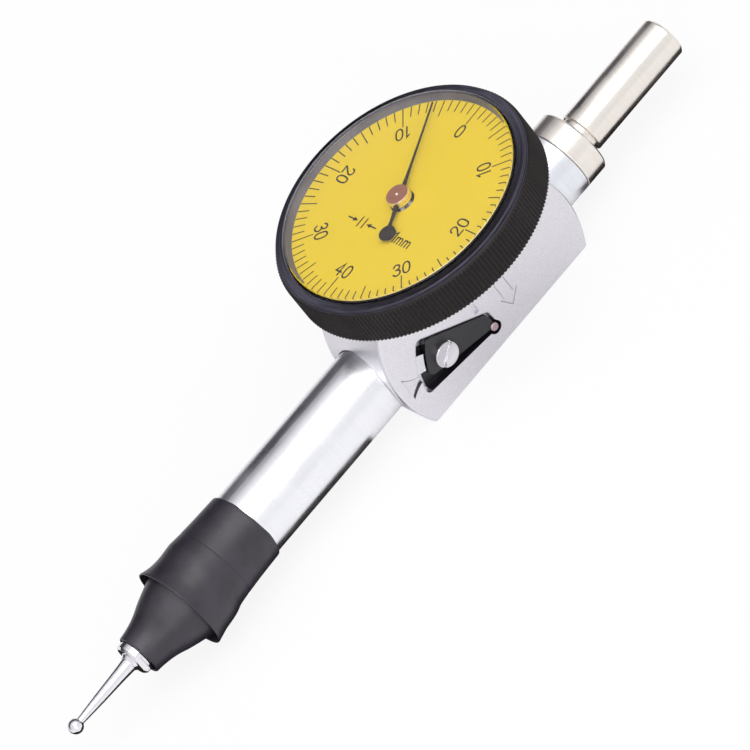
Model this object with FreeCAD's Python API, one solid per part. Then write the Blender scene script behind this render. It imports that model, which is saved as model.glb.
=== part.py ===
import FreeCAD, Part
import math
import os
from FreeCAD import Vector

# Pocket-type dial test indicator: a stem-held body with a round dial on top, a thin tube with a
# rubber boot, and a swinging contact point at its end.
#
# Frame: the flat back of the body lies on z = 0 and the dial axis is the Z axis.  The tube and
# the stem share one line along Y (stem towards +Y, contact point towards -Y), and the side face
# with the direction lever looks along +X.  All sizes are in millimetres.

# ---- body ------------------------------------------------------------------------------------
axis_height = 7.5            # tube and stem axis above the back face
body_width = 12.5
body_radius = 16.5           # round ends, turned about an X axis
body_centre_y = -1.5
body_edge_radius = 0.5
body_end_wall = 0.7          # least wall between the round ends and the cavity
movement_left = 4.4          # from the dial axis to the cavity wall on the plain side
movement_right = 3.6         # from the dial axis to the cavity wall on the lever side
cavity_floor = 1.8
cavity_corner_radius = 0.6
cavity_rear_wall = 5.5       # behind the cavity, at the tube axis
mouth_gap = 0.13             # open line round the tube and the bush where they leave the body
mouth_depth = 0.6

# ---- stem ------------------------------------------------------------------------------------
bush_diameter = 9.9
bush_rise = 4.0              # beyond the round end of the body
bush_root = 2.2              # inside the body
stem_diameter = 6.0
stem_length = 16.55          # ground shank, from its foot
collar_length = 3.4
neck_length = 1.15
neck_depth = 0.4             # undercut between collar and shank
spigot_diameter = 5.0
spigot_root = 1.5            # screwed into the body, beyond the bush

# ---- dial head -------------------------------------------------------------------------------
dial_height = 22.2           # dial face above the back face
dial_thickness = 0.45
dial_hole = 3.4
bezel_diameter = 36.1
bezel_step = 0.45            # from the knurling in to the plain rim
bezel_rim = 1.2              # plain rim, from the window out
bezel_skirt = 4.4            # below the dial face
bezel_rise = 1.1             # above the dial face
bezel_wall = 1.6
bezel_ledge = 0.5
bezel_ledge_width = 1.1
knurl_teeth = 200
knurl_depth = 0.22
knurl_rise = 0.6             # knurling ends this far above the dial face
knurl_bevel = 0.36
head_floor = 1.2
head_wall = 1.4
head_gap = 0.3               # the bezel hangs this far clear of the head's underside
spring_section = 0.5
crystal_seat = 0.3           # below the bezel top
crystal_edge = 0.75
crystal_dome = 1.15
crystal_wall = 0.7
retainer_width = 0.8
retainer_slope = 0.45

# ---- tube, boot and contact point ------------------------------------------------------------
tube_diameter = 10.0
tube_wall = 1.0
tube_length = 36.8           # from its seat in the body
tube_seat = 2.8              # into the round end of the body
tube_spigot = 1.8
tube_step = 0.7              # radial step between tube and spigot
boot_cover = 10.5            # rubber over the end of the tube
boot_overhang = 3.1          # rubber beyond the end of the tube
boot_flare = 1.25            # rim radius over tube radius
boot_wall = 0.45
boot_end = 0.5               # cone end radius over flange radius
pivot_drop = 5.0             # contact pivot beyond the end of the tube
pivot_pin_diameter = 1.6
ear_height = 3.4
fork_slot = 1.6
cheek_width = 3.8
holder_diameter = 4.7
holder_length = 5.9          # from the pivot to the flange
flange_diameter = 4.9
flange_flats = 4.0
flange_thickness = 1.1
contact_length = 17.6        # from the pivot to the middle of the ball
stylus_thread = 1.3
ball_diameter = 2.0

# ---- movement --------------------------------------------------------------------------------
sector_module = 0.15
sector_teeth = 80            # as a full wheel
sector_reach = 3             # teeth each side of the middle one
pinion_teeth = 10
crown_module = 0.1
crown_teeth = 80
tooth_addendum = 0.45        # of the module
tooth_dedendum = 0.85        # of the module
tooth_thickness = 0.36       # of the pitch, at the pitch line
tooth_taper = 0.3            # of the pitch, thinner at the tip than at the root
sector_tail = 15.9           # from the sector's arbor to the drive pin
sector_thickness = 0.5
drive_pin_diameter = 0.6
lever_bar_width = 1.0
lever_bar_height = 1.3
arbor_diameter = 0.7
journal_diameter = 0.36
plate_thickness = 0.6
plate_end_gap = 0.8          # from the front of the cavity
jewel_diameter = 1.2
hand_jewel_diameter = 1.8
screw_head = 1.6
screw_head_height = 0.4
screw_shank = 0.9
pillar_diameter = 1.2
bridge_rise = 1.0
bridge_thickness = 0.8
bridge_width = 3.6
hand_turn = 28.0             # rest position, anticlockwise from the stem
hand_end_gap = 1.6           # from the needle's tip to the bezel window
hand_lift = 0.8              # above the dial face
hand_thickness = 0.2
hub_diameter = 3.1
hub_height = 0.8

# ---- direction lever -------------------------------------------------------------------------
lever_pivot_y = -2.7
lever_pivot_z = 3.0
lever_pin_diameter = 1.2
lever_reach = 10.7           # from the pivot to the lever's round end
lever_thickness = 0.8
lever_travel = 6.0
lever_float = 0.2            # under the lever
pocket_reach = 12.2
pocket_depth = 1.3
pocket_round = 0.95
pocket_bevel = 0.35
upper_slope = 31.45          # of the pocket's upper edge
lower_slope = 7.0            # of the pocket's lower edge
ledge_depth = 0.35
ledge_reach = 12.45
ledge_low = 20.0             # the ledge spans these directions from the pivot
ledge_high = 32.2
knob_reach = 7.83
knob_direction = 24.9
knob_diameter = 3.5
knob_height = 0.7
detent_reach = 9.6
detent_direction = 23.3
detent_diameter = 1.0
mark_depth = 0.4

# ---- clearances ------------------------------------------------------------------------------
running_fit = 0.05
journal_fit = 0.02
seat_gap = 0.02
open_gap = 0.3

# ---- places worked out from the sizes above --------------------------------------------------
side_x = body_width / 2
body_front_y = body_centre_y - body_radius
body_rear_y = body_centre_y + body_radius
tube_radius = tube_diameter / 2
tube_bore = tube_diameter - 2 * tube_wall
tube_seat_y = body_front_y + tube_seat
tube_spigot_y = tube_seat_y + tube_spigot
tube_end_y = tube_seat_y - tube_length
boot_start_y = tube_end_y + boot_cover
boot_rim_y = tube_end_y - boot_overhang
contact_pivot_y = tube_end_y - pivot_drop
flange_y = contact_pivot_y - holder_length
foot_y = flange_y - flange_thickness - 0.45
ball_y = contact_pivot_y - contact_length

cavity_left = -movement_left
cavity_right = movement_right
cavity_front_y = tube_spigot_y + 0.9
cavity_rear_y = body_rear_y - cavity_rear_wall
bush_root_y = body_rear_y - bush_root
bush_end_y = body_rear_y + bush_rise
collar_start_y = bush_end_y + 0.1
collar_end_y = collar_start_y + collar_length
stem_foot_y = collar_end_y + neck_length
stem_end_y = stem_foot_y + stem_length
spigot_end_y = cavity_rear_y + spigot_root

bezel_radius = bezel_diameter / 2
rim_radius = bezel_radius - bezel_step
window_radius = rim_radius - bezel_rim
bezel_bottom = dial_height - bezel_skirt
bezel_top = dial_height + bezel_rise
bezel_bore = bezel_radius - bezel_wall
head_radius = bezel_bore - running_fit
head_bottom = bezel_bottom - head_gap
shelf_top = head_bottom + head_floor
cup_radius = head_radius - head_wall
ledge_top = dial_height - dial_thickness
ledge_bottom = ledge_top - bezel_ledge
head_top = ledge_bottom - 0.12
spring_groove_z = (bezel_bottom + head_top) / 2

sector_radius = sector_module * sector_teeth / 2
sector_pinion_radius = sector_module * pinion_teeth / 2
crown_radius = crown_module * crown_teeth / 2
hand_pinion_radius = crown_module * pinion_teeth / 2
sector_pivot_y = -sector_radius - sector_pinion_radius
drive_pin_y = sector_pivot_y - sector_tail
hand_pinion_z = axis_height + crown_radius
left_plate_x = cavity_left + plate_thickness
right_plate_x = cavity_right - plate_thickness
sector_x = right_plate_x - 1.85
plate_front_y = cavity_front_y + plate_end_gap
plate_rear_y = cavity_rear_y - 1.9
plate_bottom = cavity_floor + 0.6
plate_top = hand_pinion_z + 2.3
bridge_bottom = shelf_top + bridge_rise
bridge_top = bridge_bottom + bridge_thickness
bridge_screw_y = cup_radius - 1.1
hand_z = dial_height + hand_lift
hand_length = window_radius - hand_end_gap

pocket_x = side_x - pocket_depth
lever_x = pocket_x + lever_float
lever_top_x = lever_x + lever_thickness
knob_y = lever_pivot_y - knob_reach * math.cos(math.radians(knob_direction))
knob_z = lever_pivot_z + knob_reach * math.sin(math.radians(knob_direction))
detent_y = lever_pivot_y - detent_reach * math.cos(math.radians(detent_direction))
detent_z = lever_pivot_z + detent_reach * math.sin(math.radians(detent_direction))

X_AXIS = Vector(1, 0, 0)
Y_AXIS = Vector(0, 1, 0)
Z_AXIS = Vector(0, 0, 1)
FAR = 100.0                  # longer than any piece, for cutting right through


# ---- helpers ---------------------------------------------------------------------------------
def box(x0, x1, y0, y1, z0, z1):
    return Part.makeBox(x1 - x0, y1 - y0, z1 - z0, Vector(x0, y0, z0))


def x_cylinder(diameter, x0, x1, y, z):
    return Part.makeCylinder(diameter / 2, x1 - x0, Vector(x0, y, z), X_AXIS)


def y_cylinder(diameter, y0, y1):
    return Part.makeCylinder(diameter / 2, y1 - y0, Vector(0, y0, axis_height), Y_AXIS)


def z_cylinder(diameter, z0, z1, x=0, y=0):
    return Part.makeCylinder(diameter / 2, z1 - z0, Vector(x, y, z0), Z_AXIS)


def turned_about_tube(points):
    """Turn a closed outline of (y, radius) points about the tube axis."""
    corners = [Vector(0, y, axis_height + radius) for y, radius in points]
    face = Part.Face(Part.makePolygon(corners + corners[:1]))
    return face.revolve(Vector(0, 0, axis_height), Y_AXIS, 360)


def turned_about_dial(points):
    """Turn a closed outline of (radius, z) points about the dial axis."""
    corners = [Vector(radius, 0, z) for radius, z in points]
    face = Part.Face(Part.makePolygon(corners + corners[:1]))
    return face.revolve(Vector(0, 0, 0), Z_AXIS, 360)


def side_profile(points, x0, x1):
    """Extrude a closed outline of (y, z) points from x0 to x1."""
    corners = [Vector(x0, y, z) for y, z in points]
    face = Part.Face(Part.makePolygon(corners + corners[:1]))
    return face.extrude(Vector(x1 - x0, 0, 0))


def edges_along(shape, direction):
    """The straight edges of a shape that run along a direction."""
    found = []
    for edge in shape.Edges:
        if edge.Degenerated or edge.Curve.TypeId != "Part::GeomLine":
            continue
        if abs(edge.tangentAt(edge.FirstParameter).dot(direction)) > 0.999:
            found.append(edge)
    return found


def wheel_outline(teeth, module, first, count, phase):
    """Points (angle, radius) of spaced straight-flanked teeth; angles in radians."""
    pitch_radius = module * teeth / 2
    tip = pitch_radius + tooth_addendum * module
    root = pitch_radius - tooth_dedendum * module
    pitch_angle = 2 * math.pi / teeth
    half_root = pitch_angle * (tooth_thickness + tooth_taper / 2) / 2
    half_tip = pitch_angle * (tooth_thickness - tooth_taper / 2) / 2
    points = []
    for tooth in range(first, first + count):
        centre = tooth * pitch_angle + phase
        points.append((centre - half_root, root))
        points.append((centre - half_tip, tip))
        points.append((centre + half_tip, tip))
        points.append((centre + half_root, root))
    return points


def slotted_screw(shank_length, head, shank):
    """A cheese-head screw standing on z = 0, with its shank below."""
    screw = z_cylinder(head, 0, screw_head_height)
    screw = screw.fuse(z_cylinder(shank, -shank_length, 0))
    slot = box(-head, head, -0.12, 0.12, screw_head_height / 2, 1)
    return screw.cut(slot)


# ---- body ------------------------------------------------------------------------------------
def body_block():
    drum = x_cylinder(2 * body_radius, -side_x, side_x, body_centre_y, axis_height)
    block = drum.common(box(-FAR, FAR, -FAR, FAR, 0, shelf_top))
    edges = [edge for edge in block.Edges if edge.CenterOfMass.z < shelf_top - 0.01]
    return block.makeFillet(body_edge_radius, edges)


def head_disc():
    """The round shelf that the bezel turns on, with its rim and spring groove."""
    disc = z_cylinder(2 * head_radius, head_bottom, head_top)
    cup = z_cylinder(2 * cup_radius, shelf_top, head_top + 1)
    half = spring_section / 2 + 0.1
    groove = z_cylinder(2 * head_radius + 2, spring_groove_z - half, spring_groove_z + half)
    groove = groove.cut(z_cylinder(2 * (head_radius - 0.6), 0, FAR))
    return disc.cut(cup).cut(groove)


def movement_cavity():
    """The room for the gears, open upwards into the head."""
    room = box(cavity_left, cavity_right, cavity_front_y, cavity_rear_y, cavity_floor, shelf_top + 0.1)
    room = room.makeFillet(cavity_corner_radius, edges_along(room, Z_AXIS))
    inside = x_cylinder(2 * (body_radius - body_end_wall), -side_x, side_x, body_centre_y, axis_height)
    return room.common(inside)


def end_bores():
    """Stepped bores for the tube and the bush, opened slightly where they leave the body."""
    tube_hole = y_cylinder(tube_diameter + 2 * seat_gap, body_front_y - 1, tube_seat_y)
    spigot = tube_diameter - 2 * tube_step + 2 * seat_gap
    tube_hole = tube_hole.fuse(y_cylinder(spigot, tube_seat_y - 1, tube_spigot_y))
    tube_hole = tube_hole.fuse(y_cylinder(tube_bore - 1.6, tube_seat_y - 1, cavity_front_y + 1))
    bush_hole = y_cylinder(bush_diameter + 2 * seat_gap, bush_root_y, body_rear_y + 1)
    bush_hole = bush_hole.fuse(y_cylinder(spigot_diameter + 2 * seat_gap, spigot_end_y - 0.2, bush_end_y))
    return tube_hole.fuse(bush_hole)


def open_mouths():
    """The thin open rings round the tube and the bush, as deep as mouth_depth all the way round."""
    inner = x_cylinder(2 * (body_radius - mouth_depth), -FAR, FAR, body_centre_y, axis_height)
    tube_mouth = y_cylinder(tube_diameter + 2 * mouth_gap, body_front_y - 1, body_centre_y)
    bush_mouth = y_cylinder(bush_diameter + 2 * mouth_gap, body_centre_y, body_rear_y + 1)
    return tube_mouth.fuse(bush_mouth).cut(inner)


def screw_holes():
    holes = []
    for x, y, z in plate_screw_places():
        start = x - 1.4 if x < 0 else x - 0.1
        holes.append(x_cylinder(screw_shank, start, start + 1.5, y, z))
    for y in (-bridge_screw_y, bridge_screw_y):
        holes.append(z_cylinder(screw_shank, head_bottom + 0.2, shelf_top + 0.1, 0, y))
    return holes


def body():
    solid = body_block().fuse(head_disc()).removeSplitter()
    solid = solid.cut(movement_cavity())
    solid = solid.cut(end_bores()).cut(open_mouths())
    solid = bevel_pocket(solid.cut(lever_pocket()))
    solid = solid.cut(lever_ledge())
    solid = solid.cut(index_mark()).cut(setting_notch())
    pin_hole = lever_pin_diameter + 2 * seat_gap
    solid = solid.cut(x_cylinder(pin_hole, side_x - 2.2, side_x + 1, lever_pivot_y, lever_pivot_z))
    solid = solid.cut(x_cylinder(detent_diameter + 0.1, side_x - 2.3, side_x, detent_y, detent_z))
    return solid.cut(screw_holes())


# ---- the lever's pocket and marks in the body's side face ------------------------------------
def pivot_round(inset, x0, x1):
    """The round end of the pocket at the lever's pivot, drawn in by inset."""
    return x_cylinder(2 * (pocket_round - inset), x0, x1, lever_pivot_y, lever_pivot_z)


def pocket_fan(inset, reach, x0, x1):
    """The fan-shaped outline round the direction lever, drawn in by inset."""
    far = pocket_reach + 2
    upper = math.radians(upper_slope)
    lower = math.radians(lower_slope)
    upper_right = (lever_pivot_y + 0.4 - inset, lever_pivot_z + 2.44 - 0.5 * inset)
    apex_right = (lever_pivot_y + 0.6 - inset, lever_pivot_z + 0.6)
    lower_right = (lever_pivot_y - 0.6, lever_pivot_z - 0.3 + inset)
    upper_end = (upper_right[0] - far * math.cos(upper), upper_right[1] + far * math.sin(upper) - 0.5 * inset)
    lower_end = (lower_right[0] - far * math.cos(lower), lower_right[1] + far * math.sin(lower))
    wedge = side_profile([upper_end, upper_right, apex_right, lower_right, lower_end], x0, x1)
    fan = wedge.common(x_cylinder(2 * reach, x0, x1, lever_pivot_y, lever_pivot_z))
    return fan.makeFillet(0.7, edges_along(fan, X_AXIS))


def ledge_sector(inner, outer, x0, x1):
    """A slice of a ring about the lever's pivot, between the two ledge directions."""
    ring = x_cylinder(2 * outer, x0, x1, lever_pivot_y, lever_pivot_z)
    ring = ring.cut(x_cylinder(2 * inner, x0, x1, lever_pivot_y, lever_pivot_z))
    corners = [(lever_pivot_y, lever_pivot_z)]
    for direction in (ledge_low, ledge_high):
        angle = math.radians(direction)
        corners.append((lever_pivot_y - 20 * math.cos(angle), lever_pivot_z + 20 * math.sin(angle)))
    return ring.common(side_profile(corners, x0, x1))


def lever_pocket():
    """The deep pocket, without the step that stands at its wide end."""
    fan = pocket_fan(0, pocket_reach, pocket_x, side_x + 1)
    fan = fan.cut(ledge_sector(lever_reach + open_gap, ledge_reach + 1, pocket_x - 1, side_x + 2))
    return fan.fuse(pivot_round(0, pocket_x, side_x + 1))


def lever_ledge():
    """The shallow step beside the wide end of the pocket."""
    return ledge_sector(lever_reach, ledge_reach, side_x - ledge_depth, side_x + 1)


def bevel_pocket(solid):
    """Round the long upper edge of the pocket."""
    direction = Vector(0, -math.cos(math.radians(upper_slope)), math.sin(math.radians(upper_slope)))
    rim = [edge for edge in edges_along(solid, direction)
           if edge.CenterOfMass.x > side_x - 0.01 and edge.Length > pocket_reach / 2]
    return solid.makeFillet(pocket_bevel, rim)


def index_mark():
    """The flared mark that points from the round end of the body to the lever.

    Its floor rises from mark_depth at the neck to nearly nothing at the flared end."""
    neck_y = lever_pivot_y - pocket_reach + 1.7
    middle_y = neck_y - 1.8
    flare_y = neck_y - 3.3
    upper = Part.Arc(Vector(0, neck_y, axis_height - 0.4), Vector(0, middle_y, axis_height + 0.15),
                     Vector(0, flare_y, axis_height + 1.6))
    lower = Part.Arc(Vector(0, flare_y, axis_height - 2.05), Vector(0, middle_y, axis_height - 1.3),
                     Vector(0, neck_y, axis_height - 1.2))
    end = Part.LineSegment(upper.toShape().Vertexes[1].Point, lower.toShape().Vertexes[0].Point)
    close = Part.LineSegment(lower.toShape().Vertexes[1].Point, upper.toShape().Vertexes[0].Point)
    wire = Part.Wire([curve.toShape() for curve in (upper, end, lower, close)])
    mark = Part.Face(wire).extrude(Vector(mark_depth + 1, 0, 0))
    mark = mark.translated(Vector(side_x - mark_depth, 0, 0))
    ramp = Part.Face(Part.makePolygon([
        Vector(side_x - mark_depth, neck_y, 0), Vector(side_x + 2, neck_y, 0), Vector(side_x + 2, flare_y, 0),
        Vector(side_x - 0.1, flare_y, 0), Vector(side_x - mark_depth, neck_y, 0),
    ])).extrude(Vector(0, 0, FAR))
    return mark.common(ramp)


def setting_notch():
    """The small shallow flat above the lever."""
    top = lever_pivot_z + 5.2
    return box(side_x - 0.3, side_x + 1, lever_pivot_y - 1.0, lever_pivot_y - 0.3, top - 1.4, top)


# ---- stem and tube ---------------------------------------------------------------------------
def stem_bush():
    """The bush between body and collar, held in the body by its root."""
    outer = bush_diameter / 2
    inner = spigot_diameter / 2 + seat_gap
    return turned_about_tube([
        (bush_root_y, inner), (bush_root_y, outer), (bush_end_y, outer), (bush_end_y, inner),
    ])


def stem():
    collar = bush_diameter / 2
    shank = stem_diameter / 2
    neck = shank - neck_depth
    spigot = spigot_diameter / 2
    return turned_about_tube([
        (spigot_end_y, 0), (stem_end_y, 0), (stem_end_y, shank - 0.3), (stem_end_y - 0.3, shank),
        (stem_foot_y + 0.15, shank), (stem_foot_y, shank - 0.15), (stem_foot_y, neck),
        (collar_end_y, neck), (collar_end_y, collar - 0.25), (collar_end_y - 0.25, collar),
        (collar_start_y + 0.1, collar), (collar_start_y, collar - 0.1), (collar_start_y, collar - 0.4),
        (bush_end_y, collar - 0.4), (bush_end_y, spigot), (spigot_end_y, spigot),
    ])


def tube():
    inner = tube_bore / 2
    spigot = tube_radius - tube_step
    throat = inner - 0.6
    return turned_about_tube([
        (tube_end_y, inner), (tube_end_y, tube_radius), (tube_seat_y, tube_radius), (tube_seat_y, spigot),
        (tube_spigot_y, spigot), (tube_spigot_y, throat), (tube_seat_y - 1, throat),
        (tube_seat_y - 2, inner),
    ])


def boot_sleeve():
    """The rubber sleeve gripping the tube, waisted and then flared to its rim."""
    grip = tube_radius + seat_gap
    rim = tube_radius + boot_flare
    swell = [(3.5, 0.36), (5.7, 0.45), (8.1, 0.84), (11.0, 0.96)]
    points = [Vector(0, boot_start_y - 0.5, axis_height + grip + 0.3)]
    points += [Vector(0, boot_start_y - along, axis_height + grip + height) for along, height in swell]
    points.append(Vector(0, boot_rim_y, axis_height + rim))
    outline = Part.BSplineCurve()
    outline.interpolate(points)
    inside = [
        (boot_rim_y, rim), (boot_rim_y, rim - 0.35), (tube_end_y - 0.9, grip + 0.35),
        (tube_end_y - 0.2, grip), (boot_start_y, grip), (boot_start_y, grip + 0.15),
        (boot_start_y - 0.5, grip + 0.3),
    ]
    edges = [outline.toShape()]
    for start, end in zip(inside, inside[1:]):
        first = Vector(0, start[0], axis_height + start[1])
        second = Vector(0, end[0], axis_height + end[1])
        edges.append(Part.LineSegment(first, second).toShape())
    face = Part.Face(Part.Wire(edges))
    return face.revolve(Vector(0, 0, axis_height), Y_AXIS, 360)


def boot_cone():
    """The hollow-sided rubber cone that closes the tube over the pivot."""
    start_y = tube_end_y - 1.5
    end_y = flange_y + seat_gap
    start = tube_radius + 0.2
    end = flange_diameter / 2 + boot_end
    fall = [(0, 1), (0.12, 0.98), (0.27, 0.82), (0.48, 0.53), (0.69, 0.2), (0.85, 0.04), (1, 0)]
    curve = [(start_y + (end_y - start_y) * along, end + (start - end) * height) for along, height in fall]
    outer = Part.BSplineCurve()
    outer.interpolate([Vector(0, y, axis_height + radius) for y, radius in curve])
    inner = Part.BSplineCurve()
    inner.interpolate([Vector(0, y, axis_height + radius - boot_wall) for y, radius in curve])
    edges = [outer.toShape(), inner.toShape()]
    for y, radius in (curve[0], curve[-1]):
        rim = Vector(0, y, axis_height + radius)
        edges.append(Part.LineSegment(rim, rim - Vector(0, 0, boot_wall)).toShape())
    wire = Part.Wire(Part.__sortEdges__(edges))
    return Part.Face(wire).revolve(Vector(0, 0, axis_height), Y_AXIS, 360)


# ---- contact point ---------------------------------------------------------------------------
def pivot_fork():
    """The plug in the end of the tube, with two ears that hold the contact pivot."""
    plug_end_y = tube_end_y - 1.6
    plug = y_cylinder(tube_bore - 2 * seat_gap, plug_end_y, tube_end_y + 3)
    half_width = tube_bore / 2 - 1
    half_height = ear_height / 2
    ears = box(-half_width, half_width, contact_pivot_y, tube_end_y - 1,
               axis_height - half_height, axis_height + half_height)
    ears = ears.fuse(x_cylinder(ear_height, -half_width, half_width, contact_pivot_y, axis_height))
    ears = ears.common(y_cylinder(tube_bore - 0.8, contact_pivot_y - 3, tube_end_y + 2)).fuse(plug)
    room = cheek_width / 2 + running_fit
    ears = ears.cut(box(-room, room, contact_pivot_y - 3, plug_end_y, 0, FAR))
    ears = ears.cut(box(-fork_slot / 2, fork_slot / 2, contact_pivot_y - 3, FAR,
                        axis_height - fork_floor(), axis_height + fork_floor()))
    return ears.cut(x_cylinder(pivot_pin_diameter, -FAR, FAR, contact_pivot_y, axis_height))


def fork_floor():
    """Half the height of the slot through the fork's plug."""
    return tube_bore / 2 - 1.55


def contact_pivot():
    half = tube_bore / 2 - 1.05
    return x_cylinder(pivot_pin_diameter, -half, half, contact_pivot_y, axis_height)


def contact_lever():
    """The long arm in the tube, with its hub on the pivot at one end."""
    half = lever_bar_width / 2
    hub = x_cylinder(pivot_pin_diameter + 2.2, -half, half, contact_pivot_y, axis_height)
    neck_y = contact_pivot_y + 1
    shoulder_y = tube_end_y
    end_y = drive_pin_y + 0.8
    rise = lever_bar_height / 2
    arm = side_profile([
        (neck_y, axis_height - 1.1), (shoulder_y, axis_height - rise), (end_y, axis_height - rise + 0.15),
        (end_y, axis_height + rise - 0.15), (shoulder_y, axis_height + rise), (neck_y, axis_height + 1.1),
    ], -half, half)
    bore = x_cylinder(pivot_pin_diameter + 2 * running_fit, -2, 2, contact_pivot_y, axis_height)
    return hub.fuse(arm).cut(bore).removeSplitter()


def drive_pin():
    end_x = sector_x + sector_thickness + 0.2
    return x_cylinder(drive_pin_diameter, lever_bar_width / 2, end_x, drive_pin_y, axis_height)


def return_spring():
    """The leaf spring on the floor of the fork that presses the lever arm back."""
    floor = axis_height - fork_floor()
    foot_y = tube_end_y - 1.4
    bend_y = foot_y + 3.8
    tip_y = bend_y + 6.4
    return side_profile([
        (foot_y, floor), (bend_y, floor), (tip_y, floor + 0.8), (tip_y + 0.2, floor + 0.72),
        (tip_y + 0.2, floor + 0.9), (tip_y - 0.1, floor + 1.0), (bend_y - 0.1, floor + 0.16),
        (foot_y, floor + 0.16),
    ], -0.6, 0.6)


def holder_flange():
    """The flange at the foot of the stylus, with two flats for a spanner."""
    radius = flange_diameter / 2
    face_y = flange_y - flange_thickness
    flange = turned_about_tube([
        (flange_y, 0), (flange_y, radius), (face_y + 0.3, radius), (face_y, radius - 0.3),
        (face_y, 1.45), (foot_y, 1.15), (foot_y, 0),
    ])
    for side in (-1, 1):
        ends = sorted((side * flange_flats / 2, side * flange_diameter))
        flange = flange.cut(box(ends[0], ends[1], foot_y - 1, flange_y - 0.35, 0, FAR))
    return flange


def stylus_holder():
    """Two cheeks on the pivot, a neck under the boot, and the flange with spanner flats."""
    half_height = ear_height / 2
    cheek_in = lever_bar_width / 2 + running_fit
    cheek_out = cheek_width / 2
    root_y = contact_pivot_y - 2.4
    cheeks = x_cylinder(ear_height, -cheek_out, cheek_out, contact_pivot_y, axis_height)
    cheeks = cheeks.fuse(box(-cheek_out, cheek_out, root_y, contact_pivot_y,
                             axis_height - half_height, axis_height + half_height))
    cheeks = cheeks.cut(box(-cheek_in, cheek_in, root_y + 0.25, FAR, 0, FAR))
    neck = y_cylinder(holder_diameter, flange_y, contact_pivot_y - 2.1)
    holder = neck.fuse(cheeks).fuse(holder_flange())
    bore = pivot_pin_diameter + 2 * running_fit
    holder = holder.cut(x_cylinder(bore, -4, 4, contact_pivot_y, axis_height))
    thread = y_cylinder(stylus_thread, foot_y - 1, flange_y + 1.5)
    return holder.cut(thread).removeSplitter()


def stylus():
    """The tapered stalk, screwed into the holder and ending in the ball."""
    thread = stylus_thread / 2 - seat_gap
    ball_socket_y = ball_y + 0.75
    return turned_about_tube([
        (flange_y + 1.3, 0), (flange_y + 1.3, thread), (foot_y, thread), (foot_y, 1.05),
        (foot_y - 1.55, 0.93), (foot_y - 5.55, 0.74), (ball_y + 2, 0.58), (ball_socket_y, 0.5),
        (ball_socket_y, 0),
    ])


def stylus_ball():
    ball = Part.makeSphere(ball_diameter / 2, Vector(0, ball_y, axis_height))
    return ball.cut(y_cylinder(1.1, ball_y + 0.75, ball_y + 2))


# ---- movement --------------------------------------------------------------------------------
def plate_screw_places():
    low = plate_bottom + 1.2
    high = plate_top - 1.2
    front = plate_front_y + 1.2
    return [
        (cavity_left, front, high), (cavity_left, plate_rear_y - 2.4, low),
        (cavity_right, front, low), (cavity_right, plate_rear_y - 1.2, high),
    ]


def movement_plate(x0, wall_x):
    outline = [
        (plate_front_y, plate_bottom), (plate_rear_y - 1.2, plate_bottom), (plate_rear_y, plate_bottom + 1.2),
        (plate_rear_y, plate_top), (plate_front_y, plate_top),
    ]
    plate = side_profile(outline, x0, x0 + plate_thickness)
    window_y = plate_rear_y - 6
    window_z = plate_top - 3.2
    plate = plate.cut(box(x0, x0 + plate_thickness, window_y, window_y + 3.4, window_z, window_z + 1.8))
    for y in (sector_pivot_y, 0):
        plate = plate.cut(x_cylinder(jewel_diameter, x0 - 1, x0 + 2, y, axis_height))
    for x, y, z in plate_screw_places():
        if x == wall_x:
            plate = plate.cut(x_cylinder(screw_shank, x0 - 1, x0 + 2, y, z))
    return plate


def plate_pillars():
    """Four spacers between the movement plates, clear of the wheels."""
    front = plate_front_y + 3.1
    rear = plate_rear_y - 1.3
    places = [
        (front, plate_bottom + 1.8), (front, plate_top - 1.2),
        (rear, axis_height - 1.9), (rear, plate_top - 3.6),
    ]
    pillars = [x_cylinder(pillar_diameter, left_plate_x, right_plate_x, y, z) for y, z in places]
    return Part.makeCompound(pillars)


def plate_screws():
    screws = []
    for x, y, z in plate_screw_places():
        inward = 1 if x < 0 else -1
        screw = slotted_screw(1.5, screw_head, screw_shank - 2 * seat_gap)
        screw.rotate(Vector(0, 0, 0), Y_AXIS, 90 * inward)
        screws.append(screw.translated(Vector(x + inward * plate_thickness, y, z)))
    return Part.makeCompound(screws)


def jewel_bearings():
    """Four ring stones, pressed into the plates for the two cross shafts."""
    rings = []
    for y in (sector_pivot_y, 0):
        for x0 in (cavity_left, right_plate_x):
            ring = x_cylinder(jewel_diameter, x0, x0 + plate_thickness, y, axis_height)
            hole = journal_diameter + 2 * journal_fit
            rings.append(ring.cut(x_cylinder(hole, x0 - 1, x0 + 2, y, axis_height)))
    return Part.makeCompound(rings)


def cross_arbor(y):
    """A shaft along X with a thin journal at each end."""
    shaft = x_cylinder(arbor_diameter, left_plate_x + 0.06, right_plate_x - 0.06, y, axis_height)
    return shaft.fuse(x_cylinder(journal_diameter, cavity_left + 0.1, cavity_right - 0.1, y, axis_height))


def side_wheel(outline, x0, x1, y):
    points = []
    for angle, radius in outline:
        points.append((y + radius * math.cos(angle), axis_height + radius * math.sin(angle)))
    return side_profile(points, x0, x1)


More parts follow.
